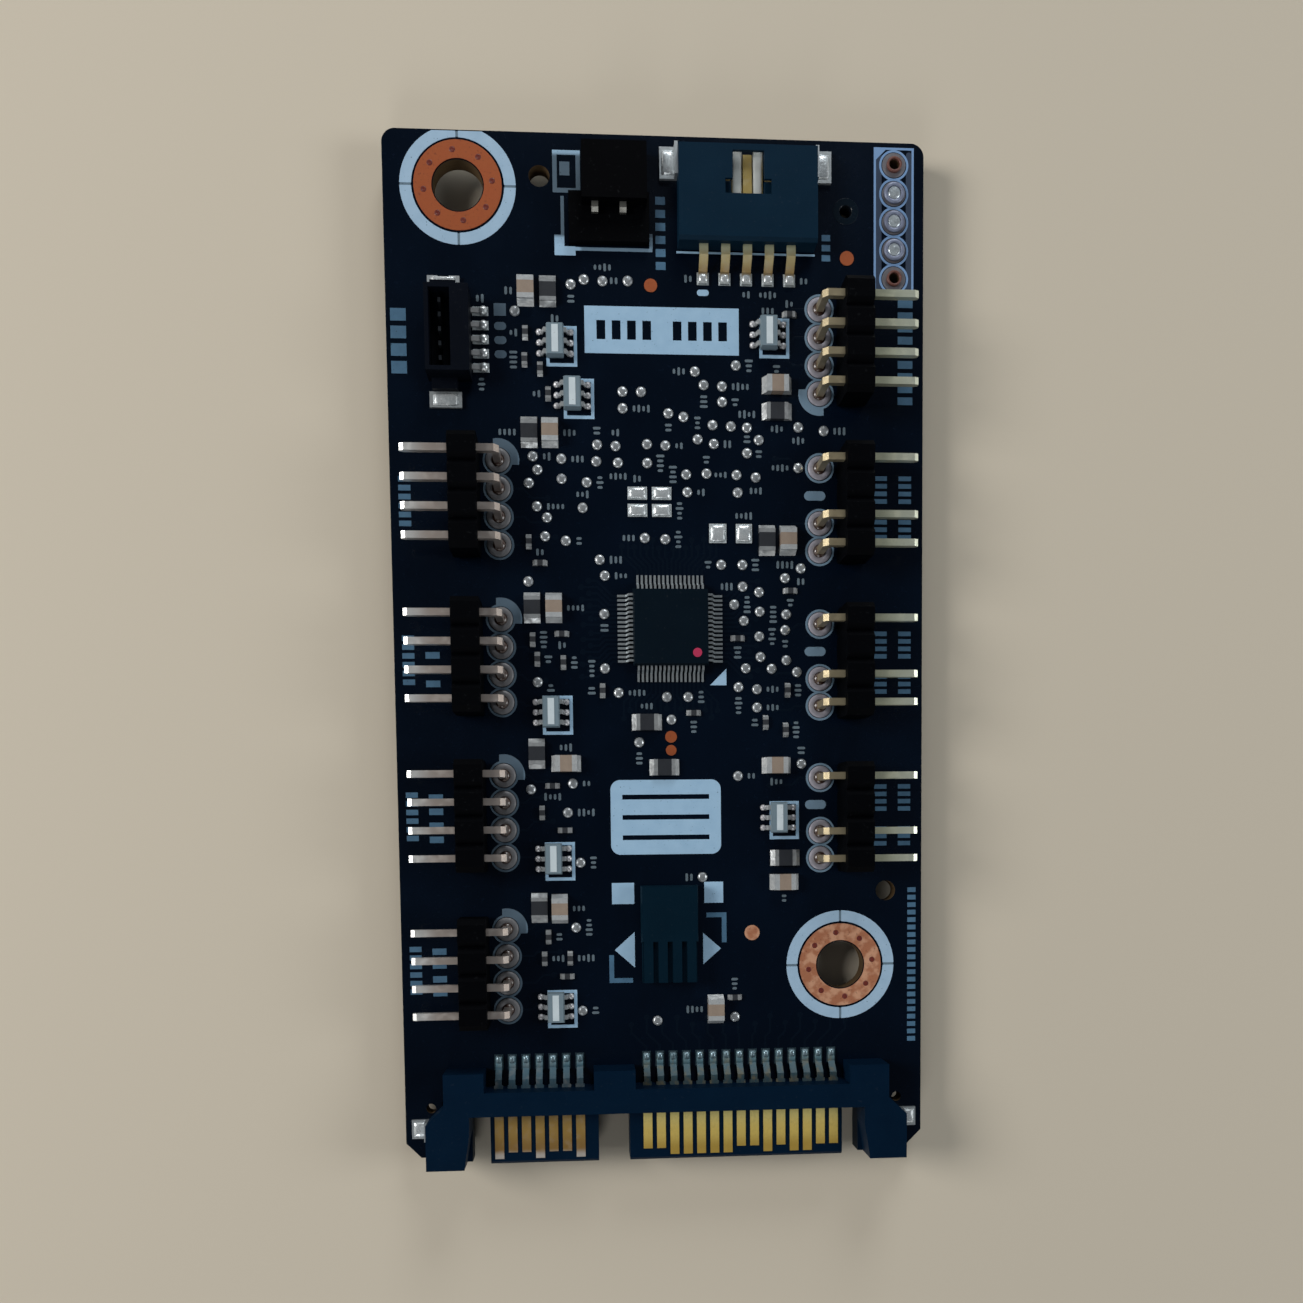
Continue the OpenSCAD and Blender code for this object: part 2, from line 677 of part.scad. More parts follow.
// Pin on the right side: tail, bend and point, in one flat profile
module header_pin()
  rotate([90, 0, 0]) linear_extrude(pin_w, center = true) {
    axis = board_top + pin_h;
    tip = column_x + pin_reach;
    polygon([
      [column_x - pin_r / 2, 0], [column_x + pin_r / 2, 0],
      [column_x + pin_r, pin_point], [column_x + pin_r, axis - pin_r],
      [tip - pin_point, axis - pin_r], [tip, axis - pin_r / 2],
      [tip, axis + pin_r / 2], [tip - pin_point, axis + pin_r],
      [column_x - pin_r + pin_bend, axis + pin_r], [column_x - pin_r, axis + pin_r - pin_bend],
      [column_x - pin_r, pin_point]
    ]);
  }

module header_bodies(groups) for (g = groups) translate([0, g[0]]) header_body(g[1]);
module header_pins(groups) for (y = slot_ys(groups)) translate([0, y]) header_pin();

module right_header_bodies() color("#14161c") header_bodies(right_groups);
module right_header_pins() color("#d8cfae") header_pins(right_groups);
module left_header_bodies() color("#14161c") mirror([1, 0, 0]) header_bodies(left_groups);
module left_header_pins() color("#d8cfae") mirror([1, 0, 0]) header_pins(left_groups);

// Ring pads along one column
module ring_pad_column(x, ys, d)
  translate([x, 0, board_top]) linear_extrude(pad_t) difference() {
    for (y = ys) translate([0, y]) circle(d = d, $fn = round_fn);
    for (y = ys) translate([0, y]) circle(d = pin_hole_d, $fn = round_fn);
  }

module ring_pads()
  color("#9fa6ae") {
    ring_pad_column(-column_x, slot_ys(left_groups), ring_pad_d);
    ring_pad_column(column_x, slot_ys(right_groups), ring_pad_d);
    ring_pad_column(spare_x, spare_ys, spare_pad_d);
  }

// The three middle holes of the spare row are filled
module spare_solder()
  color("#c3c8cc")
    for (i = [1:3]) translate([spare_x, spare_ys[i], 0]) {
      translate([0, 0, tail_l]) cylinder(board_t + pad_t, d = pin_hole_d, $fn = round_fn);
      translate([0, 0, board_top + pad_t]) cylinder(spare_dome_h, spare_dome_r[0], spare_dome_r[1], $fn = round_fn);
    }

// Solder under the board, round a square pin
module solder_joint(x, y, w)
  translate([x, y, tail_l - joint_h]) difference() {
    cylinder(joint_h, joint_tip_r, joint_r, $fn = round_fn);
    translate([-w / 2, -w / 2, -cut]) cube([w, w, joint_h + 2 * cut]);
  }

module solder_joints()
  color("#b9bec2") {
    for (y = slot_ys(left_groups)) solder_joint(-column_x, y, pin_w);
    for (y = slot_ys(right_groups)) solder_joint(column_x, y, pin_w);
    for (x = switch_xs) solder_joint(x, switch_leg_y, switch_pin_w);
  }

// ---------- Plug ----------

// Plug housing's outline above the board, right half
module plug_side_outline()
  polygon([
    [0, y_plug + bar_front], [0, y_plug + bar_rear], [block_in, y_plug + bar_rear],
    [block_in, y_plug + block_rear], [block_out, y_plug + block_rear],
    [block_out, y_plug + bar_front + shoulder[0]], [arm_out, y_plug + bar_front - shoulder[1]],
    [arm_out, y_plug], [arm_in + arm_taper[0], y_plug], [arm_in, y_plug + arm_taper[1]],
    [arm_in, y_plug + bar_front]
  ]);

// Blade that carries contacts, with a bevelled front edge
module blade(x_low, x_high)
  translate([x_low, y_plug, board_top]) rotate([90, 0, 90]) linear_extrude(x_high - x_low)
    polygon([
      [0, blade_h - blade_t + blade_bevel], [blade_bevel, blade_h - blade_t],
      [bar_front + sliver, blade_h - blade_t], [bar_front + sliver, blade_h],
      [blade_bevel, blade_h], [0, blade_h - blade_bevel]
    ]);

module key_leg(x_low)
  translate([x_low, y_plug, board_top - plug_drop])
    cube([key_w, bar_front + sliver, plug_drop + blade_h - blade_t + sliver]);

function is_in(list, i) = len([for (s = list) if (s == i) s]) > 0;
function signal_back(i) = is_in(long_signals, i) ? contact_back : contact_back_short;
function power_back(i) = is_in(short_powers, i) ? contact_back_short : contact_back;

module contact_groove(x, back)
  translate([x - contact_w / 2, y_plug + back, board_top + contact_z])
    cube([contact_w, bar_rear - back + cut, contact_t]);

module plug_housing()
  color("#15232f") difference() {
    union() {
      translate([0, 0, board_top]) linear_extrude(plug_h) {
        plug_side_outline();
        mirror([1, 0]) plug_side_outline();
        translate([key_block[0], y_plug + bar_rear - sliver])
          square([key_block[1] - key_block[0], block_rear - bar_rear + sliver]);
      }
      // lower part, inside the board's notch
      translate([-lower_arm_x, y_plug + bar_front, board_top - plug_drop])
        cube([2 * lower_arm_x, notch_depth - leg_play - bar_front, plug_drop]);
      for (side = [-1, 1])
        translate([side > 0 ? arm_in : -lower_arm_x, y_plug, board_top - plug_drop])
          cube([lower_arm_x - arm_in, bar_front, plug_drop]);
      blade(-blade_w / 2, last_signal + key_margin);
      blade(first_power - key_margin, blade_w / 2);
      key_leg(last_signal + key_margin - key_w);
      key_leg(first_power - key_margin);
    }
    for (i = [0:6]) contact_groove(signal_xs[i], signal_back(i));
    for (i = [0:14]) contact_groove(power_xs[i], power_back(i));
  }

// Contact from the blade through the housing to its foot on the board
module plug_contact(x, back)
  translate([x, y_plug, board_top]) rotate([90, 0, 90]) {
    linear_extrude(contact_w, center = true)
      polygon([
        [back, contact_z], [bar_rear + 0.3, contact_z],
        [bar_rear + 0.3, contact_z + contact_t], [back, contact_z + contact_t]
      ]);
    linear_extrude(contact_tail_w, center = true)
      polygon([
        [bar_rear + sliver, contact_z], [tail_drop_from, contact_z], [foot_from - sliver, pad_t],
        [foot_to, pad_t], [foot_to, pad_t + contact_t], [foot_from, pad_t + contact_t],
        [tail_drop_from + sliver, contact_z + contact_t], [bar_rear + sliver, contact_z + contact_t]
      ]);
  }

module signal_contacts() color("#caa14e") for (i = [0:6]) plug_contact(signal_xs[i], signal_back(i));
module power_contacts() color("#d6b04f") for (i = [0:14]) plug_contact(power_xs[i], power_back(i));

// Bent tab: a foot on the board and a flange against the wall at x = 0
module bent_tab(foot, height, length, t)
  rotate([90, 0, 0]) linear_extrude(length, center = true)
    polygon([[0, 0], [foot, 0], [foot, t], [t, t], [t, height], [0, height]]);

module plug_tabs()
  color("#cdd3d8")
    for (side = [0, 1]) mirror([side, 0, 0])
      translate([arm_out, y_plug + plug_tab_y, board_top])
        bent_tab(plug_tab_foot, plug_tab_h, plug_tab_l, tab_t);

// ---------- Lamp socket ----------

module lamp_socket()
  color("#1b3140") translate([lamp_x, lamp_rear, board_top]) difference() {
    rotate([90, 0, 90]) linear_extrude(lamp_w, center = true)
      polygon([
        [0, 0], [lamp_d, 0], [lamp_d, lamp_h], [lamp_rear_chamfer, lamp_h], [0, lamp_h - lamp_rear_chamfer]
      ]);
    // mouth, open to the far side
    translate([-lamp_w / 2 + lamp_wall, lamp_rear_wall, lamp_floor])
      cube([lamp_w - 2 * lamp_wall, lamp_d - lamp_rear_wall + cut, lamp_h - lamp_floor - lamp_roof]);
    // latch window in the roof
    translate([0, lamp_window_y, lamp_h - lamp_roof - sliver]) linear_extrude(lamp_roof + cut) {
      translate([-lamp_window[0] / 2, 0]) square(lamp_window);
      translate([-lamp_window_foot[0] / 2, 0]) square(lamp_window_foot);
    }
    for (i = [-2:2])
      translate([i * lamp_pitch - lamp_contact_w / 2, -cut, lamp_contact_z])
        cube([lamp_contact_w, lamp_rear_wall + 2 * cut, lamp_contact_t]);
  }

module lamp_contacts()
  color("#d9c470") for (x = lamp_xs)
    translate([x, lamp_rear, board_top]) rotate([90, 0, 90]) linear_extrude(lamp_contact_w, center = true) {
      tip = lamp_d - lamp_contact_tip;
      polygon([
        [tip, lamp_contact_z], [tip, lamp_contact_z + lamp_contact_t],
        [-lamp_shoulder, lamp_contact_z + lamp_contact_t], [-lamp_knee, pad_t + lamp_contact_t],
        [-lamp_foot, pad_t + lamp_contact_t], [-lamp_foot, pad_t],
        [-lamp_knee - sliver, pad_t], [-lamp_shoulder - sliver, lamp_contact_z]
      ]);
    }

module lamp_tabs()
  color("#d5d8da") for (side = [0, 1])
    translate([lamp_x, lamp_front - lamp_tab_back, board_top]) mirror([side, 0, 0])
      translate([lamp_w / 2, 0, 0]) bent_tab(lamp_tab_w, lamp_tab_h, lamp_tab_l, tab_t);

// ---------- Switch socket ----------

module switch_socket()
  color("#0f1119") difference() {
    union() {
      translate([switch_x - switch_base[0] / 2, switch_base_y, board_top]) cube(switch_base);
      translate([switch_block_x - switch_w / 2, switch_rear, board_top])
        cube([switch_w, switch_front - switch_rear, switch_h]);
    }
    translate([switch_block_x - switch_mouth[0] / 2, switch_front - switch_mouth[1], board_top + switch_mouth_z])
      cube([switch_mouth[0], switch_mouth[1] + cut, switch_mouth[2]]);
    for (x = switch_xs) {
      translate([x - switch_pin_w / 2, switch_leg_y - switch_pin_w / 2, board_top - cut])
        cube([switch_pin_w, switch_pin_w, 3 * cut]);
      translate([x - switch_pin_w / 2, switch_leg_y, board_top + switch_pin_h - switch_pin_w / 2])
        cube([switch_pin_w, switch_front - switch_leg_y, switch_pin_w]);
    }
  }

// Pin from its tail under the board up and forward into the socket's mouth
module switch_pins()
  color("#c9c6b4") for (x = switch_xs)
    translate([x, switch_leg_y, 0]) rotate([90, 0, 90]) linear_extrude(switch_pin_w, center = true) {
      r = switch_pin_w / 2;
      axis = board_top + switch_pin_h;
      tip = switch_front - switch_leg_y - switch_pin_tip;
      polygon([
        [-r / 2, 0], [r / 2, 0], [r, pin_point], [r, axis - r], [tip - r, axis - r], [tip, axis],
        [tip - r, axis + r], [0, axis + r], [-r, axis], [-r, pin_point]
      ]);
    }

// ---------- Side socket ----------

module side_contact_profile() {
  tail_x = side_c[0] + side_w / 2 + side_tail;
  polygon([
    [tail_x, pad_t], [tail_x, pad_t + side_contact_t],
    [side_pin_x + side_contact_t / 2, pad_t + side_contact_t], [side_pin_x + side_contact_t / 2, side_pin_top],
    [side_pin_x - side_contact_t / 2, side_pin_top], [side_pin_x - side_contact_t / 2, pad_t]
  ]);
}

module side_contacts()
  color("#c5c9cc") for (y = side_ys)
    translate([0, y, board_top]) rotate([90, 0, 0])
      linear_extrude(side_contact_w, center = true) side_contact_profile();

module side_socket()
  color("#141c2a") difference() {
    translate([side_c[0], side_c[1], board_top]) difference() {
      union() {
        translate([-side_w / 2, -side_l / 2, 0]) cube([side_w, side_l, side_h]);
        for (side = [-1, 1])
          translate([side_ear_x - side_ear[0] / 2, side * (side_l + side_ear[1]) / 2 - side_ear[1] / 2, 0])
            cube(side_ear);
      }
      translate([-side_w / 2 + side_wall, -side_l / 2 + side_wall, side_floor])
        cube([side_w - side_wall - side_thick_wall, side_l - 2 * side_wall, side_h]);
    }
    for (y = side_ys)
      translate([0, y, board_top]) rotate([90, 0, 0]) linear_extrude(side_contact_w, center = true) {
        side_contact_profile();
        // slot below the contact, so that it drops in from the board side
        translate([side_pin_x - side_contact_t / 2, -cut]) square([side_w + cut, cut + pad_t]);
      }
  }

module side_tabs()
  color("#d8dcde") translate([side_c[0] + side_ear_x, side_c[1], board_top]) {
    ear_end = side_l / 2 + side_ear[1];
    translate([-side_tab[0] / 2, -ear_end - side_tab[1], 0]) cube(side_tab);
    // the far tab is forked and shorter
    translate([-side_tab[0] / 2, ear_end, 0]) difference() {
      cube([side_tab[0], side_fork[0], side_tab[2]]);
      translate([side_fork[2], side_fork[0] - side_fork[1], -cut])
        cube([side_tab[0] - 2 * side_fork[2], cut, side_tab[2] + 2 * cut]);
    }
  }

// ---------- Chips ----------

// Flat lead beside a chip body: leaves the body at height z, bends down and lies on the board
module gull_lead(z, reach, w, t)
  rotate([90, 0, 0]) linear_extrude(w, center = true)
    polygon([
      [0, z], [reach * 0.2, z], [reach * 0.38, 0], [reach, 0],
      [reach, t], [reach * 0.46, t], [reach * 0.28, z + t], [0, z + t]
    ]);

module controller()
  color("#1a1f24") translate([chip_c[0], chip_c[1], board_top + chip_gap])
    moulded_block(chip_s, chip_s, chip_h - chip_gap, chip_draft, chip_lead_t);

module controller_leads()
  color("#9aa3a6") translate([chip_c[0], chip_c[1], board_top])
    for (side = [0:3], i = [0:chip_leads - 1])
      rotate(90 * side) translate([chip_s / 2, (i - (chip_leads - 1) / 2) * chip_pitch, 0])
        gull_lead((chip_h + chip_gap - chip_lead_t) / 2, chip_lead_reach, chip_lead_w, chip_lead_t);

module controller_dot()
  color("#b0264a") translate([chip_c[0] + chip_dot_off, chip_c[1] - chip_dot_off, board_top + chip_h])
    cylinder(print_t, r = chip_dot_r, $fn = 24);

// Flat chip: a plain half, and a lower half with ribs along it
module memory_chip()
  color("#16232b") translate([memory_c[0], memory_c[1], board_top]) {
    ribbed = memory_ribbed + sliver;
    translate([0, memory_ribbed / 2, 0])
      moulded_block(memory_w, memory_l - memory_ribbed, memory_h, memory_draft, memory_h / 4);
    translate([-memory_w / 2 + memory_draft, -memory_l / 2, 0])
      cube([memory_w - 2 * memory_draft, ribbed + memory_draft, memory_h - memory_rib_h]);
    for (i = [0:memory_ribs - 1])
      translate([(i - (memory_ribs - 1) / 2) * memory_w / memory_ribs - memory_rib_w / 2, -memory_l / 2, sliver])
        cube([memory_rib_w, ribbed + memory_draft, memory_h - sliver]);
  }

module six_lead_chips()
  color("#39424a") for (place = six_places) at_spot(place)
    translate([0, 0, six_gap]) moulded_block(six_w, six_l, six_h - six_gap, six_draft, six_lead_t);

module six_lead_leads()
  color("#c9ced0") for (place = six_places) at_spot(place)
    for (side = [0, 1], i = [-1:1]) rotate(180 * side)
      translate([six_w / 2, i * six_pitch, 0])
        gull_lead((six_h + six_gap - six_lead_t) / 2, six_lead_reach, six_lead_w, six_lead_t);

module six_lead_stripes()
  color("#dde6ea") for (place = six_places) at_spot(place)
    translate([-six_stripe[0] / 2, -six_stripe[1] / 2, six_h]) cube([six_stripe[0], six_stripe[1], print_t]);

// ---------- Two-terminal parts ----------

module at_places(places) for (p = places) at_spot(p) rotate(p[2]) children();

module two_end_body(size) translate([-size[0] / 2, -size[1] / 2, 0]) cube(size);

// End caps with the solder that runs down to the pads
module two_end_caps(size, end)
  for (side = [0, 180]) rotate(side) rotate([90, 0, 0]) linear_extrude(size[1], center = true) {
    inner = size[0] / 2;
    outer = inner + end[0];
    polygon([
      [inner, 0], [outer + end[1], 0], [outer, size[2] * 0.75], [outer, size[2]], [inner, size[2]]
    ]);
  }

module capacitors() color("#b9a58c") at_places(cap_places) two_end_body(cap_size);
module capacitor_ends() color("#dfe3e4") at_places(cap_places) two_end_caps(cap_size, cap_end);
module resistors() color("#1c1f26") at_places(res_places) two_end_body(res_size);
module resistor_ends() color("#a9aeb2") at_places(res_places) two_end_caps(res_size, res_end);
module small_resistors() color("#22252c") at_places(small_places) two_end_body(small_size);
module small_resistor_ends() color("#9da3a8") at_places(small_places) two_end_caps(small_size, small_end);

// ---------- Tinned pads and dots ----------

module tinned_box(x, y, w, l, t) translate([x - w / 2, y - l / 2, 0]) cube([w, l, t]);

module tinned_pads()
  color("#cfd6da") {
    for (p = open_pads) at_spot(p) tinned_box(0, 0, p[2], p[3], open_pad_t);
    translate([0, 0, board_top]) {
      for (x = concat(signal_xs, power_xs))
        tinned_box(x, y_plug + (foot_from + foot_to) / 2, foot_pad[0], foot_pad[1], pad_t);
      for (x = lamp_xs)
        tinned_box(x, lamp_rear - (lamp_knee + lamp_foot) / 2, lamp_foot_pad[0], lamp_foot_pad[1], pad_t);
      for (y = side_ys)
        tinned_box(side_c[0] + side_w / 2 + side_tail / 2 + sliver, y, side_tail, side_pad_w, pad_t);
    }
  }

module test_dots()
  color("#aab1b6") for (p = dot_places) at_spot(p) cylinder(dot_t, r = dot_r, $fn = round_fn);

circuit_board();
mount_copper();
copper_dots();
mount_print();
white_print();
edge_print();
left_header_bodies();
left_header_pins();
right_header_bodies();
right_header_pins();
ring_pads();
spare_solder();
solder_joints();
tinned_pads();
test_dots();
plug_housing();
signal_contacts();
power_contacts();
plug_tabs();
lamp_socket();
lamp_contacts();
lamp_tabs();
switch_socket();
switch_pins();
side_socket();
side_contacts();
side_tabs();
controller();
controller_leads();
controller_dot();
memory_chip();
six_lead_chips();
six_lead_leads();
six_lead_stripes();
capacitors();
capacitor_ends();
resistors();
resistor_ends();
small_resistors();
small_resistor_ends();
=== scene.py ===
import bmesh
import bpy
import numpy as np
from mathutils import Matrix, Vector


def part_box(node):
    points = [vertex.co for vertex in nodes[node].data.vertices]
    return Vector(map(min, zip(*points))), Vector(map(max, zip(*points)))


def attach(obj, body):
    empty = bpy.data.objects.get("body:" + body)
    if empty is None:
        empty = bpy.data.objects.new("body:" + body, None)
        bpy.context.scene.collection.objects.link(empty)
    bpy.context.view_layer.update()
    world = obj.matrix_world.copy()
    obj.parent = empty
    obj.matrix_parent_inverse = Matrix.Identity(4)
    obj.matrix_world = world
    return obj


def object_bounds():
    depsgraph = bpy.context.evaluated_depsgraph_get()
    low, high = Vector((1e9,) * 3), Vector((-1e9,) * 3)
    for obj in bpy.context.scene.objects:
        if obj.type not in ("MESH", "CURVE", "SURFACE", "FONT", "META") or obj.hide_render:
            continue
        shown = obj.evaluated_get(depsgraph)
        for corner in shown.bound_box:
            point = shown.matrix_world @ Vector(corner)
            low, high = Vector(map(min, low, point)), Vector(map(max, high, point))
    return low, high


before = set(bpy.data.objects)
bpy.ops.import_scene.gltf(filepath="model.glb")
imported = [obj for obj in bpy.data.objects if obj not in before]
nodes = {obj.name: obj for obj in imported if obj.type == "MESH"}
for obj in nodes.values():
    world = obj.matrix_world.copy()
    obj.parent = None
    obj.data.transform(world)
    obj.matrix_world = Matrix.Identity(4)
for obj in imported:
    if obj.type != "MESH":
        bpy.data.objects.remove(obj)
cadLow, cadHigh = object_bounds()
mm = 0.001

# places on the board that several finishes and pieces use, in mm
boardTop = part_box("circuit_board")[1].z / mm
boardLow, boardHigh = (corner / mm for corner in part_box("circuit_board"))
plugLow, plugHigh = (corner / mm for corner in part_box("plug_housing"))
lampLow, lampHigh = (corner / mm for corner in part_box("lamp_socket"))
switchLow, switchHigh = (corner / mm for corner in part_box("switch_socket"))
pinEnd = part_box("right_header_pins")[1].x / mm
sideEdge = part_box("side_socket")[1].x / mm
headerPitch = 2.54
print("frame loaded,", len(nodes), "nodes")


# camera and lamps

cameraSettings = {
    "place": (-7.541, -16.794, 106.671),          # in mm
    "turn": (0.05966436, 0.065756, 0.01313228),   # axis times angle, from the board to the camera
    "lens": 30.391,
    "sensor": 36,
    "shift": (-0.0042, 0.1954),
    "clip": (0.004, 20),                          # in metres
}

def makeCamera(settings):
    turn = Vector(settings["turn"])
    boardToCamera = Matrix.Rotation(turn.length, 3, turn.normalized())
    data = bpy.data.cameras.new("viewCamera")
    data.lens, data.sensor_width = settings["lens"], settings["sensor"]
    data.shift_x, data.shift_y = settings["shift"]
    data.clip_start, data.clip_end = settings["clip"]
    camera = bpy.data.objects.new("viewCamera", data)
    place = Matrix.Translation(Vector(settings["place"]) * mm)
    camera.matrix_world = place @ boardToCamera.transposed().to_4x4()
    bpy.context.scene.collection.objects.link(camera)
    bpy.context.scene.camera = camera

makeCamera(cameraSettings)

# each lamp: place in metres, size, watts, colour; all of them look at the board's middle
lampSettings = {
    "leftSoftbox": ((-0.40, 0.08, 0.27), 0.22, 1.65, (1.0, 0.98, 0.95)),
    "rightSoftbox": ((0.42, -0.02, 0.25), 0.20, 0.7, (0.96, 0.99, 1.0)),
    "nearSoftbox": ((-0.10, -0.44, 0.24), 0.20, 0.5, (0.97, 0.99, 1.0)),
    "farSoftbox": ((0.08, 0.47, 0.23), 0.20, 0.9, (0.94, 0.98, 1.0)),
}

def makeLamps(settings):
    for name, (place, size, power, colour) in settings.items():
        data = bpy.data.lights.new(name, "AREA")
        data.shape = "DISK"
        data.size = size
        data.energy = power
        data.color = colour
        lamp = bpy.data.objects.new(name, data)
        lamp.location = place
        lamp.rotation_euler = (-Vector(place)).to_track_quat("-Z", "Y").to_euler()
        bpy.context.scene.collection.objects.link(lamp)

makeLamps(lampSettings)
print("camera and lamps placed")


# shader maths

class Wire:
    # a node's output that stands in a sum like a number
    def __init__(self, owner, socket):
        self.owner, self.socket = owner, socket

    def __add__(self, other): return self.owner.calc("ADD", self, other)
    def __radd__(self, other): return self.owner.calc("ADD", other, self)
    def __sub__(self, other): return self.owner.calc("SUBTRACT", self, other)
    def __rsub__(self, other): return self.owner.calc("SUBTRACT", other, self)
    def __mul__(self, other): return self.owner.calc("MULTIPLY", self, other)
    def __rmul__(self, other): return self.owner.calc("MULTIPLY", other, self)
    def __abs__(self): return self.owner.calc("ABSOLUTE", self)


class NodeSet:
    # the nodes of one material or of the world, all made by add
    def __init__(self, tree):
        self.tree = tree
        tree.nodes.clear()

    def feed(self, node, inputs):
        for name, value in inputs.items() if isinstance(inputs, dict) else enumerate(inputs):
            socket = node.inputs[name.replace("_", " ") if isinstance(name, str) else name]
            if isinstance(value, Wire):
                self.tree.links.new(value.socket, socket)
            else:
                isColour = socket.type == "RGBA" and len(value) == 3
                socket.default_value = (*value, 1) if isColour else value

    def add(self, kind, settings=None, inputs=(), out=0):
        node = self.tree.nodes.new(kind)
        for name, value in (settings or {}).items():
            setattr(node, name, value)
        self.feed(node, inputs)
        return Wire(self, node.outputs[out]) if len(node.outputs) else None

    def calc(self, operation, *inputs):
        return self.add("ShaderNodeMath", {"operation": operation}, inputs)


class Paint(NodeSet):
    # one material; fixed values go straight onto the shader's own sockets
    def __init__(self, name, **fixed):
        self.material = bpy.data.materials.new(name)
        self.material.use_nodes = True
        super().__init__(self.material.node_tree)
        surface = self.add("ShaderNodeBsdfPrincipled", inputs=fixed)
        self.add("ShaderNodeOutputMaterial", inputs=[surface])
        self.shader = surface.socket.node
        # object coordinates in millimetres, as a vector and as x, y and z
        metres = self.add("ShaderNodeTexCoord", out="Object")
        self.vector = self.add(
            "ShaderNodeVectorMath", {"operation": "SCALE"}, {0: metres, "Scale": 1 / mm})
        split = self.add("ShaderNodeSeparateXYZ", inputs=[self.vector]).socket.node
        self.x, self.y, self.z = (Wire(self, socket) for socket in split.outputs)

    def noise(self, scale, detail=3.0, stretch=(1, 1, 1)):
        spread = self.add(
            "ShaderNodeVectorMath", {"operation": "MULTIPLY"}, {0: self.vector, 1: stretch})
        return self.add(
            "ShaderNodeTexNoise", inputs={"Vector": spread, "Scale": scale, "Detail": detail})

    def cells(self, scale):
        return self.add("ShaderNodeTexVoronoi", inputs={"Vector": self.vector, "Scale": scale})

    def wave(self, along, turns):
        return self.calc("SINE", along * turns)

    def span(self, value, low, high):
        # 0 below low, 1 above high, smooth between
        smooth = {"interpolation_type": "SMOOTHSTEP"}
        return self.add("ShaderNodeMapRange", smooth, [value, low, high, 0.0, 1.0])

    def strip(self, value, low, high, soft):
        # 1 between low and high, 0 outside, with soft edges inside them
        return self.span(value, low, low + soft) * (1 - self.span(value, high - soft, high))

    def upward(self):
        # 1 on faces that look up or down, 0 on upright ones
        normal = self.add("ShaderNodeTexCoord", out="Normal")
        height = self.add("ShaderNodeSeparateXYZ", inputs=[normal], out="Z")
        return self.span(abs(height), 0.4, 0.75)

    def mix(self, mask, first, second):
        inputs = {0: mask, 6: first, 7: second}
        return self.add("ShaderNodeMix", {"data_type": "RGBA"}, inputs, out=2)

    def bump(self, height, depth):
        inputs = {"Strength": 1.0, "Distance": depth * mm, "Height": height}
        return self.add("ShaderNodeBump", inputs=inputs)

    def wear(self, **varying):
        self.feed(self.shader, varying)
        return self.material


def scaled(colour, share):
    return tuple(share * part for part in colour)

def placed(start, stops):
    # the stops of a band, counted in mm from start
    return [(start + along, colour) for along, colour in stops]


# finishes

maskSettings = {
    "dark": (0.0005, 0.0018, 0.0046), "light": (0.0010, 0.0062, 0.0180),
    "fibre": (0.10, 0.062, 0.028)}
navy = maskSettings["dark"]

def maskPaint(name, dark, light, fibre, weave=7.0, shine=0.18, gloss=0.19, cutRough=0.72):
    # glossy mask over woven glass: the weave shows as a faint grid, and cut edges show laminate
    paint = Paint(name, Specular_IOR_Level=shine)
    flat = paint.upward()
    cloud = paint.noise(0.12, 4.0)
    specks = paint.span(paint.noise(2.6, 2.0), 0.62, 0.78)
    top = paint.mix(cloud * 0.7 + specks * 0.25, dark, light)
    layers = paint.noise(3.0, 4.0, (0.4, 0.4, 9.0))
    side = paint.mix(layers, fibre, scaled(fibre, 0.35))
    cloth = paint.wave(paint.x, weave) * paint.wave(paint.y, weave)
    relief = cloth * 0.05 + paint.noise(1.1, 2.0) * 0.4 + layers * (1 - flat)
    rough = (gloss + cloud * 0.12 + specks * 0.05) * flat + cutRough * (1 - flat)
    return paint.wear(
        Base_Color=paint.mix(flat, side, top), Roughness=rough, Normal=paint.bump(relief, 0.018))

def plasticPaint(
        name, dark, light, rough, grain=9.0, depth=0.012, shine=0.05,
        dust=0.02, dustColour=(0.35, 0.38, 0.40)):
    # moulded plastic: fine spark-eroded grain, slow colour drift, a little dust on upward faces
    paint = Paint(name, Specular_IOR_Level=shine)
    drift = paint.noise(0.35, 3.0)
    fine = paint.noise(grain, 3.0)
    flow = paint.noise(1.2, 2.0, (0.3, 1.0, 1.0))
    lint = paint.span(paint.noise(3.5, 2.0), 0.64, 0.8) * paint.upward()
    body = paint.mix(drift * 0.7 + fine * 0.3, dark, light)
    return paint.wear(
        Base_Color=paint.mix(lint * dust, body, dustColour),
        Roughness=rough + fine * 0.12 + flow * 0.08 - 0.08,
        Normal=paint.bump(fine * 0.6 + flow * 0.4, depth))

def metalPaint(name, bright, tarnish, rough, metal=0.8):
    # plated metal: fine unevenness in the plating, tarnish in slow patches
    paint = Paint(name)
    lines = paint.noise(4.0, 4.0)
    patch = paint.span(paint.noise(0.8, 3.0), 0.42, 0.68)
    return paint.wear(
        Base_Color=paint.mix(patch * 0.6 + lines * 0.3, bright, tarnish),
        Metallic=metal - patch * 0.12, Roughness=rough + lines * 0.16 + patch * 0.1,
        Normal=paint.bump(lines, 0.008))

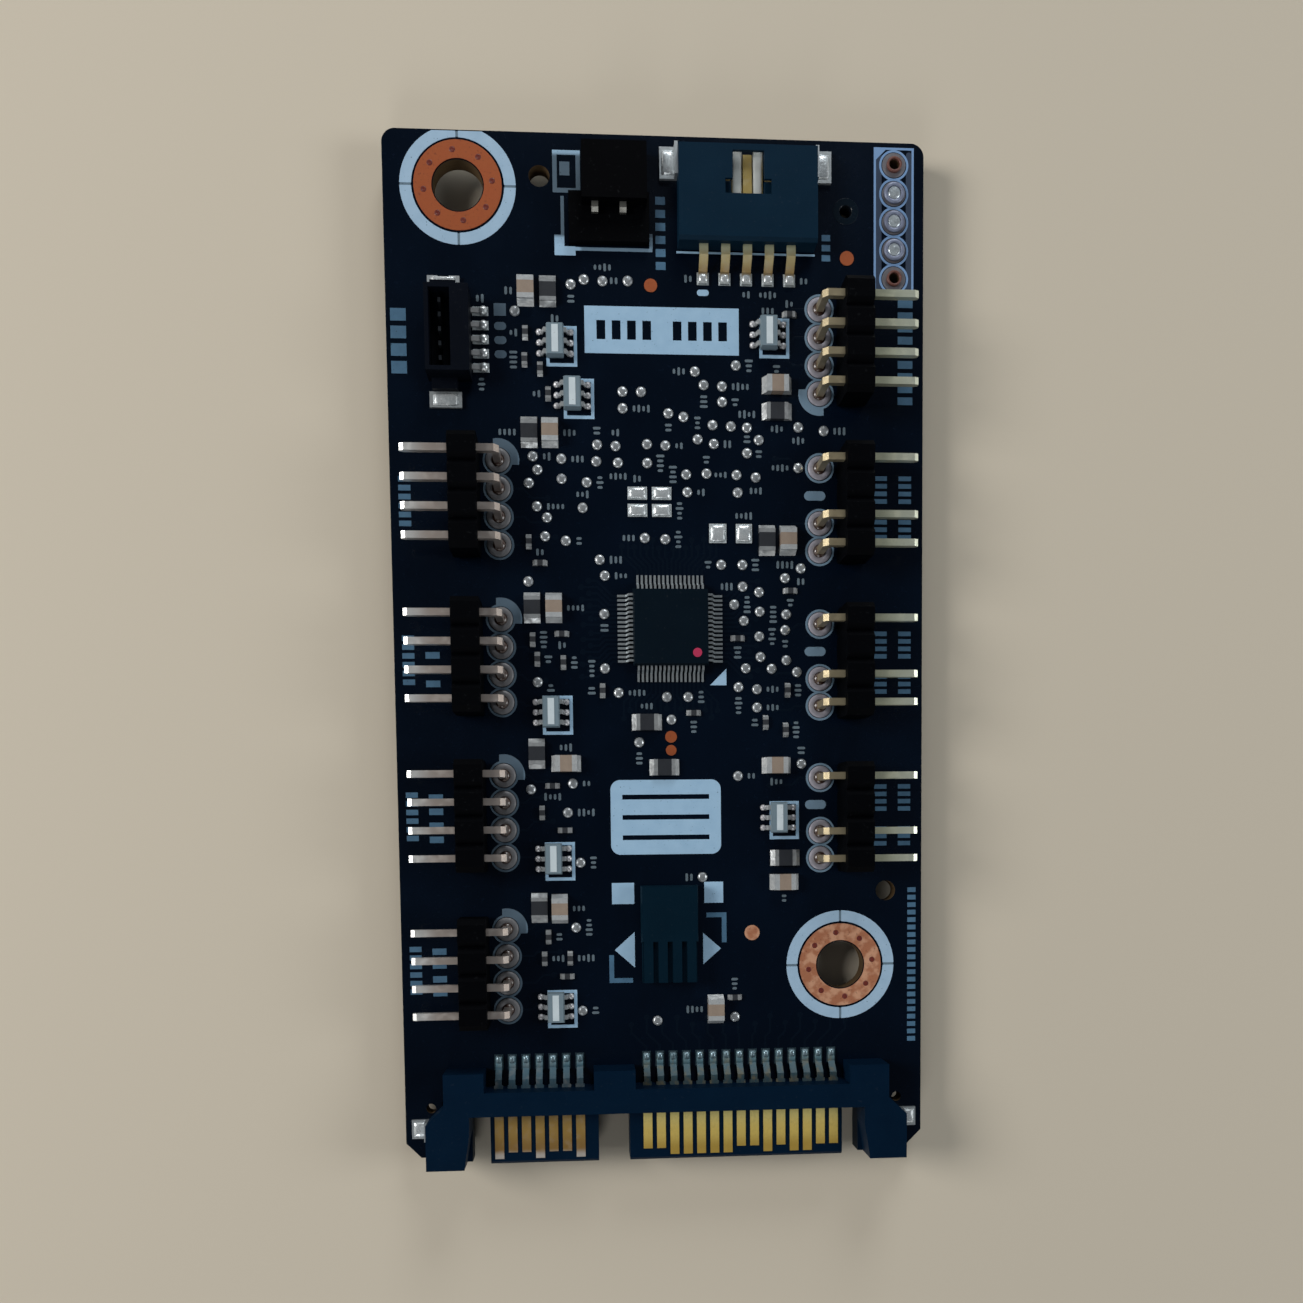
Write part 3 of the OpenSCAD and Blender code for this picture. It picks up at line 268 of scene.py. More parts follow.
def solderPaint(
        name, bright, dull, rough=0.24, metal=0.75,
        plugShadowBelow=None, plugShadowColour=(0.022, 0.045, 0.060), plugShadowEdge=0.5):
    # solder: shining with soft ripples, duller where the surface froze in grains; the row of pads
    # nearer the plug than the given line is painted dark as the plug housing's shadow
    paint = Paint(name)
    ripple = paint.noise(2.2, 2.0)
    frost = paint.cells(5.5)
    patch = paint.span(paint.noise(1.3, 2.0), 0.4, 0.7)
    base = paint.mix(patch, bright, dull)
    if plugShadowBelow is not None:
        # painted shadow of the plug housing on the pads behind it
        base = paint.mix(paint.span(paint.y, plugShadowBelow - plugShadowEdge, plugShadowBelow), plugShadowColour, base)
    return paint.wear(
        Base_Color=base, Metallic=metal, Roughness=rough + patch * 0.22 + frost * 0.1,
        Normal=paint.bump(ripple + frost * 0.25 * patch, 0.05))

def inkPaint(name, full, thin, under=navy, headerShade=None, tintBoxes=(), screen=42.0, soft=0.4):
    # screened ink: woven screen texture, thinner patches and pinholes that show what is under it;
    # where asked, it is turned towards the colour under it along the header columns as painted
    # shade of the headers, and each tint box is a box from x and y to x and y, the colour that the
    # ink turns to there, and how far; the boxes carry painted shadow and print colour
    paint = Paint(name, Specular_IOR_Level=0.3)
    patch = paint.noise(0.9, 4.0)
    holes = paint.span(paint.noise(6.5, 2.0), 0.70, 0.76)
    base = paint.mix(holes * 0.8, paint.mix(patch, full, thin), under)
    if headerShade:
        # painted shade of the header pins and bodies: the print is turned towards the board's
        # colour
        column = paint.strip(abs(paint.x), headerShade["inner"], headerShade["outer"], headerShade["edge"])
        below = 1 - paint.span(paint.y, *headerShade["between"])
        toRight = paint.span(paint.x, -1.0, 1.0)
        share = headerShade["left"] - toRight * (headerShade["left"] - headerShade["right"])
        base = paint.mix(column * below * share, base, under)
    # each box turns the print towards its colour: painted shadow, and blue print
    for (left, near, right, far), colour, amount in tintBoxes:
        box = paint.strip(paint.x, left, right, soft) * paint.strip(paint.y, near, far, soft)
        base = paint.mix(box * amount, base, colour)
    mesh = paint.wave(paint.x, screen) * paint.wave(paint.y, screen)
    return paint.wear(
        Base_Color=base, Roughness=0.46 + patch * 0.2,
        Normal=paint.bump(mesh * 0.3 + patch, 0.006))

def copperPaint(name, bright, deep, spot, pale, paleBetween):
    # bare copper under a clear lacquer: turning marks, dark tarnish specks; towards the plug it is
    # paler, in patches
    paint = Paint(name, Coat_Roughness=0.2, Coat_Weight=0.35)
    patch = paint.noise(1.1, 4.0)
    specks = paint.span(paint.noise(4.0, 3.0), 0.58, 0.74)
    paleShare = 1 - paint.span(paint.y, *paleBetween)
    paleShare = paleShare * (0.35 + paint.span(patch, 0.42, 0.62) * 0.6)
    clean = paint.mix(paleShare, paint.mix(patch, bright, deep), pale)
    return paint.wear(
        Base_Color=paint.mix(specks * 0.5, clean, spot), Metallic=0.55 - specks * 0.2,
        Roughness=0.34 + patch * 0.2, Normal=paint.bump(paint.noise(7.0, 2.0), 0.008))

def bandPaint(name, axis, stops, rough, metal, streak=(1, 1, 1), dullAfter=None):
    # a plated strip whose colour changes along one axis: each stop is a place in mm and a colour;
    # past dullAfter the plating has hardly any shine left
    paint = Paint(name, Specular_IOR_Level=0.25)
    along = getattr(paint, axis)
    lines = paint.noise(5.0, 3.0, streak)
    patch = paint.span(paint.noise(1.4, 3.0), 0.45, 0.7)
    tip = stops[0][1]
    base = tip
    for (low, _), (high, colour) in zip(stops, stops[1:]):
        base = paint.mix(paint.span(along, low, high), base, colour)
    base = paint.mix(patch * 0.22 + lines * 0.18, base, scaled(tip, 0.45))
    shine = metal - patch * 0.1
    if dullAfter is not None:
        shine = shine * (1 - paint.span(along, dullAfter - 0.4, dullAfter + 0.4) * 0.85)
    return paint.wear(
        Base_Color=base, Metallic=shine, Roughness=rough + lines * 0.14 + patch * 0.1,
        Normal=paint.bump(lines, 0.008))

def brownCollarPaint(name, thin, thick):
    # a dark brown collar round a pin: clear-coated, uneven in colour and surface
    paint = Paint(name, Coat_Weight=0.6, Coat_Roughness=0.12)
    patch = paint.noise(3.0, 3.0)
    return paint.wear(
        Base_Color=paint.mix(patch, thin, thick), Roughness=0.22 + patch * 0.3,
        Normal=paint.bump(patch, 0.04))

def ceramicPaint(name, dark, light, rough):
    # fired body: fine sintered grain with darker pores
    paint = Paint(name)
    grain = paint.noise(11.0, 3.0)
    pores = paint.span(paint.cells(6.0), 0.0, 0.12)
    cloud = paint.noise(1.6, 2.0)
    body = paint.mix(cloud * 0.6 + grain * 0.4, dark, light)
    return paint.wear(
        Base_Color=paint.mix(pores, scaled(dark, 0.5), body), Roughness=rough + grain * 0.2,
        Normal=paint.bump(grain + pores * 0.5, 0.015))


# white print: darkened along the header columns as painted shade of the headers, between two
# distances from the middle, as far as the header at the far end, more on the left than the right;
# painted shadow of the switch socket beside it, and blue print round the spare row
headerShadeColumns = {
    "inner": 12.6, "outer": 16.8, "edge": 0.6, "between": (33.5, 34.5),
    "left": 0.78, "right": 0.52}
spareBlue = (0.09, 0.19, 0.44)
switchShadowAndBlueBoxes = [
    # painted shadow of the switch socket, beside it and on its side towards the plug
    ((switchLow.x - 2.2, switchLow.y + 0.5, switchHigh.x + 0.9, switchHigh.y), navy, 0.74),
    ((switchLow.x + 0.9, switchLow.y - 1.6, switchHigh.x + 1.6, switchLow.y + 0.9), navy, 0.55),
    ((boardHigh.x - 5.4, boardHigh.y - 14.6, boardHigh.x, boardHigh.y + 0.5), spareBlue, 0.62),
]

# plating along the contacts, counted from the plug's front, the lamp socket's rear and the side
# socket's edge; the pins' is counted from the board's middle. Painted light in it: the plug's
# tails are dark navy as painted shade of the housing, the signal contacts' tips pale as a painted
# highlight, the side contacts near black inside the socket as painted shade, and the header pins
# pale towards their outer ends as painted highlights, the left column whiter than the right
# painted shade: the dark navy tails behind the plug's housing
tailShadeStops = [(7.3, (0.008, 0.042, 0.068)), (8.9, (0.024, 0.088, 0.130)), (9.4, (0.12, 0.24, 0.30))]
powerStops = [(1.0, (0.62, 0.41, 0.085)), (2.6, (0.98, 0.74, 0.20)), (4.6, (1.0, 0.86, 0.33))]
# the pale first stop is a painted highlight on the tips
signalGlintStops = [(0.7, (0.62, 0.56, 0.50)), (1.4, (0.34, 0.19, 0.045)), (3.0, (0.46, 0.28, 0.065))]
lampStops = [
    (-2.9, (0.62, 0.66, 0.66)), (-2.0, (0.36, 0.24, 0.09)), (-1.2, (0.52, 0.42, 0.20)),
    (-0.2, (0.66, 0.66, 0.42)), (3.0, (0.60, 0.44, 0.14))]
# painted shade: near black where the contacts run into the socket
sideShadeStops = [(-1.2, (0.020, 0.024, 0.030)), (0.2, (0.52, 0.53, 0.54))]
# painted highlight: whitish outer ends; the left pins are lit paler than the right ones
leftPinGlintStops = [
    (-pinEnd + 0.4, (0.92, 0.92, 0.90)), (-pinEnd + 2.6, (0.62, 0.53, 0.47)),
    (-16.5, (0.55, 0.47, 0.42))]
# painted highlight: paler towards the outer ends
rightPinGlintStops = [
    (15.5, (0.50, 0.42, 0.27)), (19.5, (0.58, 0.60, 0.44)), (pinEnd - 0.4, (0.76, 0.80, 0.66))]
tailDull = plugLow.y + 6.8
alongX, alongY = (0.3, 3, 3), (3, 0.3, 3)

finishes = {
    "circuit_board": maskPaint("solderMask", **maskSettings),
    "mount_copper": copperPaint(
        "bareCopper", bright=(0.52, 0.145, 0.050), deep=(0.37, 0.080, 0.025),
        spot=(0.12, 0.02, 0.012), pale=(0.82, 0.44, 0.27), paleBetween=(-20.0, -12.0)),
    "mount_print": inkPaint("ringInk", (0.38, 0.53, 0.68), (0.28, 0.42, 0.56)),
    "white_print": inkPaint(
        "whiteInk", (0.36, 0.54, 0.71), (0.265, 0.43, 0.60),
        headerShade=headerShadeColumns, tintBoxes=switchShadowAndBlueBoxes),
    "edge_print": inkPaint("paleBlueInk", (0.085, 0.19, 0.30), (0.035, 0.092, 0.16)),
    "left_header_bodies": plasticPaint(
        "headerPlastic", (0.0004, 0.0006, 0.0011), (0.0010, 0.0013, 0.0022), rough=0.55,
        shine=0.025),
    "left_header_pins": bandPaint(
        "pinPlatingLeftGlint", "x", leftPinGlintStops, rough=0.26, metal=0.75, streak=alongX),
    "right_header_pins": bandPaint(
        "pinPlatingRightGlint", "x", rightPinGlintStops, rough=0.28, metal=0.75, streak=alongX),
    "ring_pads": metalPaint(
        "tinnedRing", (0.22, 0.215, 0.24), (0.10, 0.09, 0.10), rough=0.34, metal=0.5),
    "spare_solder": solderPaint("spareSolder", (0.62, 0.68, 0.72), (0.30, 0.34, 0.37)),
    "solder_joints": solderPaint("undersideSolder", (0.55, 0.58, 0.60), (0.28, 0.30, 0.31)),
    # the row of pads behind the plug is darkened as painted shadow of its housing
    "tinned_pads": solderPaint(
        "tinnedPad", (0.62, 0.68, 0.70), (0.40, 0.44, 0.46), rough=0.32, metal=0.45,
        plugShadowBelow=plugHigh.y + 2.5),
    "test_dots": solderPaint(
        "testDot", (0.42, 0.45, 0.47), (0.22, 0.24, 0.26), rough=0.3, metal=0.45),
    "plug_housing": plasticPaint(
        "plugPlastic", (0.0005, 0.0064, 0.0185), (0.0012, 0.0115, 0.0300), rough=0.42,
        grain=7.0, shine=0.06),
    "signal_contacts": bandPaint(
        "signalGold", "y", placed(plugLow.y, signalGlintStops + tailShadeStops), rough=0.3, metal=0.5,
        streak=alongY, dullAfter=tailDull),
    "power_contacts": bandPaint(
        "powerGold", "y", placed(plugLow.y, powerStops + tailShadeStops), rough=0.28, metal=0.5,
        streak=alongY, dullAfter=tailDull),
    "plug_tabs": metalPaint("drawnTin", (0.62, 0.66, 0.68), (0.30, 0.34, 0.36), rough=0.3),
    "lamp_socket": plasticPaint(
        "lampPlastic", (0.0016, 0.0120, 0.0265), (0.0034, 0.0200, 0.0410), rough=0.42,
        grain=8.0, shine=0.06),
    "lamp_contacts": bandPaint(
        "lampGold", "y", placed(lampLow.y, lampStops), rough=0.26, metal=0.7, streak=alongY),
    "switch_socket": plasticPaint(
        "switchPlastic", (0.0004, 0.0005, 0.0009), (0.0010, 0.0011, 0.0017), rough=0.55,
        shine=0.025),
    "switch_pins": metalPaint(
        "switchPinTin", (0.24, 0.24, 0.22), (0.11, 0.105, 0.095), rough=0.34),
    "side_socket": plasticPaint(
        "sidePlastic", (0.0010, 0.0018, 0.0042), (0.0024, 0.0042, 0.0090), rough=0.48),
    "side_contacts": bandPaint(
        "sideContactTin", "x", placed(sideEdge, sideShadeStops), rough=0.3, metal=0.6),
    "controller": plasticPaint(
        "controllerEpoxy", (0.0008, 0.0040, 0.0085), (0.0020, 0.0074, 0.0135), rough=0.55,
        grain=14.0, depth=0.02),
    "controller_leads": metalPaint(
        "controllerLead", (0.42, 0.46, 0.48), (0.24, 0.27, 0.29), rough=0.3, metal=0.7),
    "controller_dot": inkPaint(
        "redInk", (0.52, 0.035, 0.10), (0.36, 0.02, 0.07), under=(0.03, 0.01, 0.015)),
    "memory_chip": plasticPaint(
        "memoryEpoxy", (0.0008, 0.0080, 0.0165), (0.0018, 0.0130, 0.0250), rough=0.48,
        grain=12.0, depth=0.02),
    # painted sheen: the chips' black bodies are given a light blue-grey for the light on their tops
    "six_lead_chips": plasticPaint(
        "sixLeadEpoxySheen", (0.13, 0.185, 0.22), (0.21, 0.275, 0.32), rough=0.5,
        grain=12.0, depth=0.02),
    "six_lead_leads": metalPaint(
        "sixLeadTin", (0.64, 0.67, 0.68), (0.34, 0.36, 0.37), rough=0.28, metal=0.7),
    # painted highlight: the pale stripe on each chip's top is a lamp's glint, drawn as ink
    "six_lead_stripes": inkPaint(
        "stripeGlint", (0.66, 0.74, 0.78), (0.48, 0.56, 0.60), under=(0.08, 0.09, 0.10)),
    "capacitors": ceramicPaint("ceramicTan", (0.20, 0.15, 0.12), (0.34, 0.27, 0.21), rough=0.4),
    "capacitor_ends": solderPaint(
        "capacitorEnd", (0.72, 0.75, 0.76), (0.45, 0.48, 0.50), rough=0.26, metal=0.6),
    "resistors": ceramicPaint(
        "ceramicDark", (0.010, 0.012, 0.016), (0.022, 0.025, 0.032), rough=0.36),
    "resistor_ends": solderPaint(
        "resistorEnd", (0.42, 0.44, 0.45), (0.24, 0.25, 0.26), rough=0.3, metal=0.6),
    "small_resistors": ceramicPaint(
        "smallCeramic", (0.014, 0.016, 0.020), (0.03, 0.033, 0.04), rough=0.38),
}
sameAs = {
    "copper_dots": "mount_copper", "right_header_bodies": "left_header_bodies",
    "lamp_tabs": "plug_tabs", "side_tabs": "plug_tabs", "small_resistor_ends": "resistor_ends",
}
for name, other in sameAs.items():
    finishes[name] = finishes[other]
for name, piece in nodes.items():
    for held in piece.material_slots:
        held.material = finishes[name]
print("finishes on", len(finishes), "nodes")


# floor and world

studioSettings = {
    "half": 0.36,   # half the floor's width, in metres
    "floor": (0.615, 0.55, 0.445), "shade": 0.94,
    "sky": (0.055, 0.06, 0.066), "backdrop": (0.80, 0.78, 0.74), "band": (0.25, 0.6)}

def makeFloor(settings):
    # a pale plate at the height of the lowest point
    half, level = settings["half"], cadLow.z
    near = [(-half, -half, level), (half, -half, level)]
    far = [(half, half, level), (-half, half, level)]
    mesh = bpy.data.meshes.new("studioFloor")
    mesh.from_pydata(near + far, [], [(0, 1, 2, 3)])
    floor = bpy.data.objects.new("studioFloor", mesh)
    bpy.context.scene.collection.objects.link(floor)
    paint = Paint("studioFloor", Specular_IOR_Level=0.2)
    cloud = paint.noise(0.006, 2.0)
    colour = paint.mix(cloud, settings["floor"], scaled(settings["floor"], settings["shade"]))
    mesh.materials.append(paint.wear(Base_Color=colour, Roughness=0.7 + cloud * 0.1))

def makeWorld(settings):
    # the sky lights dimly; low down, the eye and reflections see a pale backdrop, which fades out
    # upwards between the two heights of the band
    world = bpy.data.worlds.new("studioWorld")
    world.use_nodes = True
    dome = NodeSet(world.node_tree)
    camera, glossy, through = (
        dome.add("ShaderNodeLightPath", out=ray)
        for ray in ("Is Camera Ray", "Is Glossy Ray", "Is Transmission Ray"))
    seen = dome.calc("MAXIMUM", camera, dome.calc("MAXIMUM", glossy, through))
    direction = dome.add("ShaderNodeTexCoord", out="Generated")
    height = dome.add("ShaderNodeSeparateXYZ", inputs=[direction], out="Z")
    low = dome.add("ShaderNodeMapRange", inputs=[height, *settings["band"], 1.0, 0.0])
    sky = dome.add("ShaderNodeBackground", inputs=[settings["sky"]])
    backdrop = dome.add("ShaderNodeBackground", inputs=[settings["backdrop"]])
    blend = dome.add("ShaderNodeMixShader", inputs=[low * seen, sky, backdrop])
    dome.add("ShaderNodeOutputWorld", inputs=[blend])
    bpy.context.scene.world = world

makeFloor(studioSettings)
makeWorld(studioSettings)
bpy.context.scene.view_settings.view_transform = "Standard"
print("studio ready")


# tools for the new pieces, all in mm

def islands(name):
    # low and high corner of each separate solid in a node: every face takes the lowest label of its
    # corners until nothing changes
    mesh = nodes[name].data
    places = np.empty(len(mesh.vertices) * 3)
    mesh.vertices.foreach_get("co", places)
    places = places.reshape(-1, 3) / mm
    corners = np.empty(len(mesh.loops), int)
    mesh.loops.foreach_get("vertex_index", corners)
    merged = np.unique(np.round(places, 3), axis=0, return_inverse=True)[1].ravel()
    faces = merged[corners].reshape(-1, 3)
    label = np.arange(merged.max() + 1)
    while True:
        lowest = label[faces].min(axis=1)
        spread = label.copy()
        np.minimum.at(spread, faces.ravel(), np.repeat(lowest, 3))
        if (spread == label).all():
            break
        label = spread
    owner = label[merged]
    kinds = np.unique(owner)
    low = np.array([places[owner == kind].min(axis=0) for kind in kinds])
    high = np.array([places[owner == kind].max(axis=0) for kind in kinds])
    return low, high

def centresOf(name, level):
    # the middle of each solid in a node, moved to one level
    low, high = islands(name)
    middle = (low + high) / 2
    middle[:, 2] = level
    return middle

def shrunk(low, high, share, sunk=0.005):
    # boxes drawn in towards their own middles by share, with tops a little under the old ones
    middle = (low + high) / 2
    inner = (low - middle) * share + middle
    outer = (high - middle) * share + middle
    inner[:, 2], outer[:, 2] = low[:, 2], high[:, 2] - sunk
    return inner, outer

def meshPiece(name, points, faces, material, weld=False, smooth=True):
    mesh = bpy.data.meshes.new(name)
    mesh.from_pydata((points * mm).tolist(), [], faces)
    if weld:
        shell = bmesh.new()
        shell.from_mesh(mesh)
        bmesh.ops.remove_doubles(shell, verts=shell.verts, dist=1e-7)
        bmesh.ops.dissolve_degenerate(shell, edges=shell.edges, dist=1e-8)
        bmesh.ops.recalc_face_normals(shell, faces=shell.faces)
        shell.to_mesh(mesh)
        shell.free()
    mesh.materials.append(material)
    mesh.polygons.foreach_set("use_smooth", [smooth] * len(mesh.polygons))
    mesh.update()
    piece = bpy.data.objects.new(name, mesh)
    bpy.context.scene.collection.objects.link(piece)
    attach(piece, "root")
    return piece

def gridPiece(name, points, material, smooth=True):
    # points is sheets × rows × columns × 3; four neighbours of each sheet make one face
    index = np.arange(points[..., 0].size).reshape(points.shape[:3])
    corners = [index[:, :-1, :-1], index[:, :-1, 1:], index[:, 1:, 1:], index[:, 1:, :-1]]
    faces = np.stack(corners, axis=-1).reshape(-1, 4).tolist()
    return meshPiece(
        name, points.reshape(-1, 3), faces, material, weld=True, smooth=smooth)

def turnedPiece(name, centres, profile, sides, material, smooth=True):
    # a profile of radius r and height h is turned round an upright axis at every centre:
    # x is the centre's plus r cos a, y the centre's plus r sin a, z the centre's plus h
    angles = np.linspace(0, 2 * np.pi, sides + 1)
    radius, height = np.asarray(profile, float).T[:, None, :, None]
    points = np.empty((len(centres), len(profile), sides + 1, 3))
    points[..., 0] = centres[:, 0, None, None] + radius * np.cos(angles)
    points[..., 1] = centres[:, 1, None, None] + radius * np.sin(angles)
    points[..., 2] = centres[:, 2, None, None] + height
    return gridPiece(name, points, material, smooth)

def ribbonPiece(name, paths, width, height, material):
    # paths is ribbons × corners × 2; a low raised strip follows each path, and at a corner its
    # sideways step is the sum of both sides' normals over 1 plus their dot product
    step = np.diff(paths, axis=1)
    step /= np.linalg.norm(step, axis=2, keepdims=True)
    side = np.stack([-step[..., 1], step[..., 0]], axis=-1)
    before = np.concatenate([side[:, :1], side], axis=1)
    after = np.concatenate([side, side[:, -1:]], axis=1)
    mitre = (before + after) / (1 + (before * after).sum(axis=2, keepdims=True))
    across = np.array([-0.5, -0.34, 0.34, 0.5, -0.5]) * width
    rise = np.array([-0.2, 1, 1, -0.2, -0.2]) * height
    points = np.empty(paths.shape[:2] + (5, 3))
    points[..., :2] = paths[:, :, None] + mitre[:, :, None] * across[None, None, :, None]
    points[..., 2] = boardTop + rise
    return gridPiece(name, points, material, smooth=False)

def pillowPiece(name, low, high, rise, material, slotName, steps=9):
    # on each box's floor plan the height is rise times (1 - u^4)(1 - v^4), closed by a flat base
    u = np.linspace(-1, 1, steps)
    across, along = np.meshgrid(u, u, indexing="ij")
    middle, half = (low + high) / 2, (high - low) / 2
    top = np.empty((len(low), steps, steps, 3))
    top[..., 0] = middle[:, 0, None, None] + half[:, 0, None, None] * across
    top[..., 1] = middle[:, 1, None, None] + half[:, 1, None, None] * along
    top[..., 2] = high[:, 2, None, None]
    base = top.copy()
    top[..., 2] += rise * ((1 - across ** 4) * (1 - along ** 4))
    return gridPiece(name, np.concatenate([top, base]), material)

def strokePiece(name, strokes, thickness, material):
    # strokes is rows of x, y, length, width and turn; each is a flat bar on the board with round
    # ends: along it a point lies half of length less width out, plus half the width times cos a,
    # and across it half the width times sin a
    angles = np.linspace(-np.pi / 2, np.pi / 2, 5)
    ends = np.concatenate([angles, angles + np.pi])
    push = np.repeat([0.5, -0.5], len(angles))
    x, y, length, width, turn = (column[:, None] for column in np.asarray(strokes, float).T)
    along = push * (length - width) + width / 2 * np.cos(ends)
    across = width / 2 * np.sin(ends)
    count = len(ends)
    points = np.empty((len(x), 2, count, 3))
    points[..., 0] = (x + along * np.cos(turn) - across * np.sin(turn))[:, None]
    points[..., 1] = (y + along * np.sin(turn) + across * np.cos(turn))[:, None]
    points[..., 2] = np.array([boardTop, boardTop + thickness])[:, None]
    start = np.arange(len(x))[:, None] * 2 * count
    step = np.arange(count)
    after = (step + 1) % count
    lid = start + count + step
    base = start + step[::-1]
    wall = start[:, :, None] + np.stack([step, after, after + count, step + count], axis=-1)
    faces = lid.tolist() + base.tolist() + wall.reshape(-1, 4).tolist()
    return meshPiece(name, points.reshape(-1, 3), faces, material, smooth=False)


# swollen solder on the open pads, on the feet of the parts and over the hold-down tabs; on the
# plug's feet it is painted dark as the housing's shadow
padSettings = {"openAbove": 0.1, "share": 0.94, "rise": 0.2}
footSettings = {
    "share": 0.9, "rise": 0.34,
    "plugRows": 4, "plugLength": 0.85, "plugInset": (0.1, 0, 0),   # the feet behind the plug
    "sideBefore": -12, "sideShift": 0.6,                           # the side socket's feet
}
tabSettings = {"height": 0.3, "share": 0.8, "rise": 0.16}
brightSolder = solderPaint(
    "freshSolder", (0.74, 0.78, 0.80), (0.46, 0.50, 0.52), rough=0.2, metal=0.6)
# painted shadow of the plug housing: dark bluish solder on the plug's feet
plugShadedSolder = solderPaint(
    "plugFootSolderShaded", (0.24, 0.34, 0.39), (0.10, 0.16, 0.19), rough=0.24, metal=0.6)

padLow, padHigh = islands("tinned_pads")
isOpen = (padHigh - padLow)[:, 2] > padSettings["openAbove"]
openBoxes = shrunk(padLow[isOpen], padHigh[isOpen], padSettings["share"])
pillowPiece("padPillows", *openBoxes, padSettings["rise"], brightSolder, "solder")

footLow, footHigh = shrunk(padLow[~isOpen], padHigh[~isOpen], footSettings["share"])
isPlugFoot = footHigh[:, 1] < plugHigh.y + footSettings["plugRows"]
isSideFoot = ~isPlugFoot & (footLow[:, 0] < footSettings["sideBefore"])
footLow[isPlugFoot, 1] = footHigh[isPlugFoot, 1] - footSettings["plugLength"]
footLow[isSideFoot, 0] += footSettings["sideShift"]
pillowPiece(
    "footPillows", footLow[~isPlugFoot], footHigh[~isPlugFoot], footSettings["rise"],
    brightSolder, "solder")
pillowPiece(
    "plugFootPillows", footLow[isPlugFoot] + footSettings["plugInset"],
    footHigh[isPlugFoot] - footSettings["plugInset"], footSettings["rise"], plugShadedSolder, "solder")

tabBoxes = [islands(name) for name in ("plug_tabs", "lamp_tabs", "side_tabs")]
tabLow, tabHigh = (np.concatenate(corners) for corners in zip(*tabBoxes))
tabHigh[:, 2] = tabLow[:, 2] + tabSettings["height"]
pillowPiece(
    "tabPillows", *shrunk(tabLow, tabHigh, tabSettings["share"]), tabSettings["rise"],
    brightSolder, "solder")

# the latch plate in the lamp socket's window, on both sides of the middle contact, and its ears;
# distances along y are from the socket's rear, heights from the board
latchSettings = {
    "half": 1.42, "slot": 0.46, "from": 4.05, "to": 8.15, "base": 0.4, "level": 1.02, "rise": 0.16,
    "earAt": (-2.45, 1.46), "earSize": (0.99, 1.4, 0.1), "earBase": 1.22, "earRise": 0.05}
latchPaint = plasticPaint("latchPlastic", (0.42, 0.45, 0.44), (0.58, 0.60, 0.58), rough=0.45)
latchX = (lampLow.x + lampHigh.x) / 2
latchRear, latchFront = (lampLow.y + latchSettings[end] for end in ("from", "to"))
latchMiddles = [
    latchX + side * (latchSettings["half"] + latchSettings["slot"]) / 2 for side in (-1, 1)]
latchReach = (latchSettings["half"] - latchSettings["slot"]) / 2
latchLow = np.array([
    (x - latchReach, latchRear, boardTop + latchSettings["base"]) for x in latchMiddles])
latchHigh = np.array([
    (x + latchReach, latchFront, boardTop + latchSettings["level"]) for x in latchMiddles])
pillowPiece("latchPlate", latchLow, latchHigh, latchSettings["rise"], latchPaint, "lamp_plastic")
earLow = np.array([
    (latchX + x, latchRear, boardTop + latchSettings["earBase"]) for x in latchSettings["earAt"]])
pillowPiece(
    "latchEars", earLow, earLow + latchSettings["earSize"], latchSettings["earRise"],
    finishes["lamp_socket"], "lamp_plastic")
print("pillows and latch made")

# dark red lacquer in the small holes of the copper rings, in a circle halfway across the ring
stitchSettings = {
    "ring": (4.5, 7.9), "count": 8, "firstTurn": 8, "sides": 12,
    "profile": [(0, 0), (0.27, 0), (0.27, 0.07), (0.2, 0.085), (0.1, 0.06), (0, 0.05)]}
ringMiddles = centresOf("mount_copper", boardTop)
stitchSteps = np.arange(stitchSettings["count"])
stitchTurns = np.radians(360 / stitchSettings["count"] * stitchSteps + stitchSettings["firstTurn"])
stitchRadius = sum(stitchSettings["ring"]) / 4
stitchMiddles = np.array([
    (x + stitchRadius * np.cos(turn), y + stitchRadius * np.sin(turn), boardTop)
    for x, y in ringMiddles[:, :2] for turn in stitchTurns])
turnedPiece(
    "stitchPlugs", stitchMiddles, stitchSettings["profile"], stitchSettings["sides"],
    ceramicPaint("stitchLacquer", (0.10, 0.012, 0.008), (0.16, 0.022, 0.012), rough=0.3))

# domes on the test dots
domeSettings = {
    "lift": 0.04, "rise": 0.16, "sides": 14,
    "profile": [(0, 0), (0.44, 0), (0.42, 0.4), (0.3, 0.8), (0.14, 0.97), (0, 1)]}
dome = np.array(domeSettings["profile"]) * (1, domeSettings["rise"])
turnedPiece(
    "dotDomes", centresOf("test_dots", boardTop + domeSettings["lift"]), dome,
    domeSettings["sides"],
    solderPaint("dotSolder", (0.50, 0.53, 0.55), (0.26, 0.28, 0.30), rough=0.22, metal=0.7))

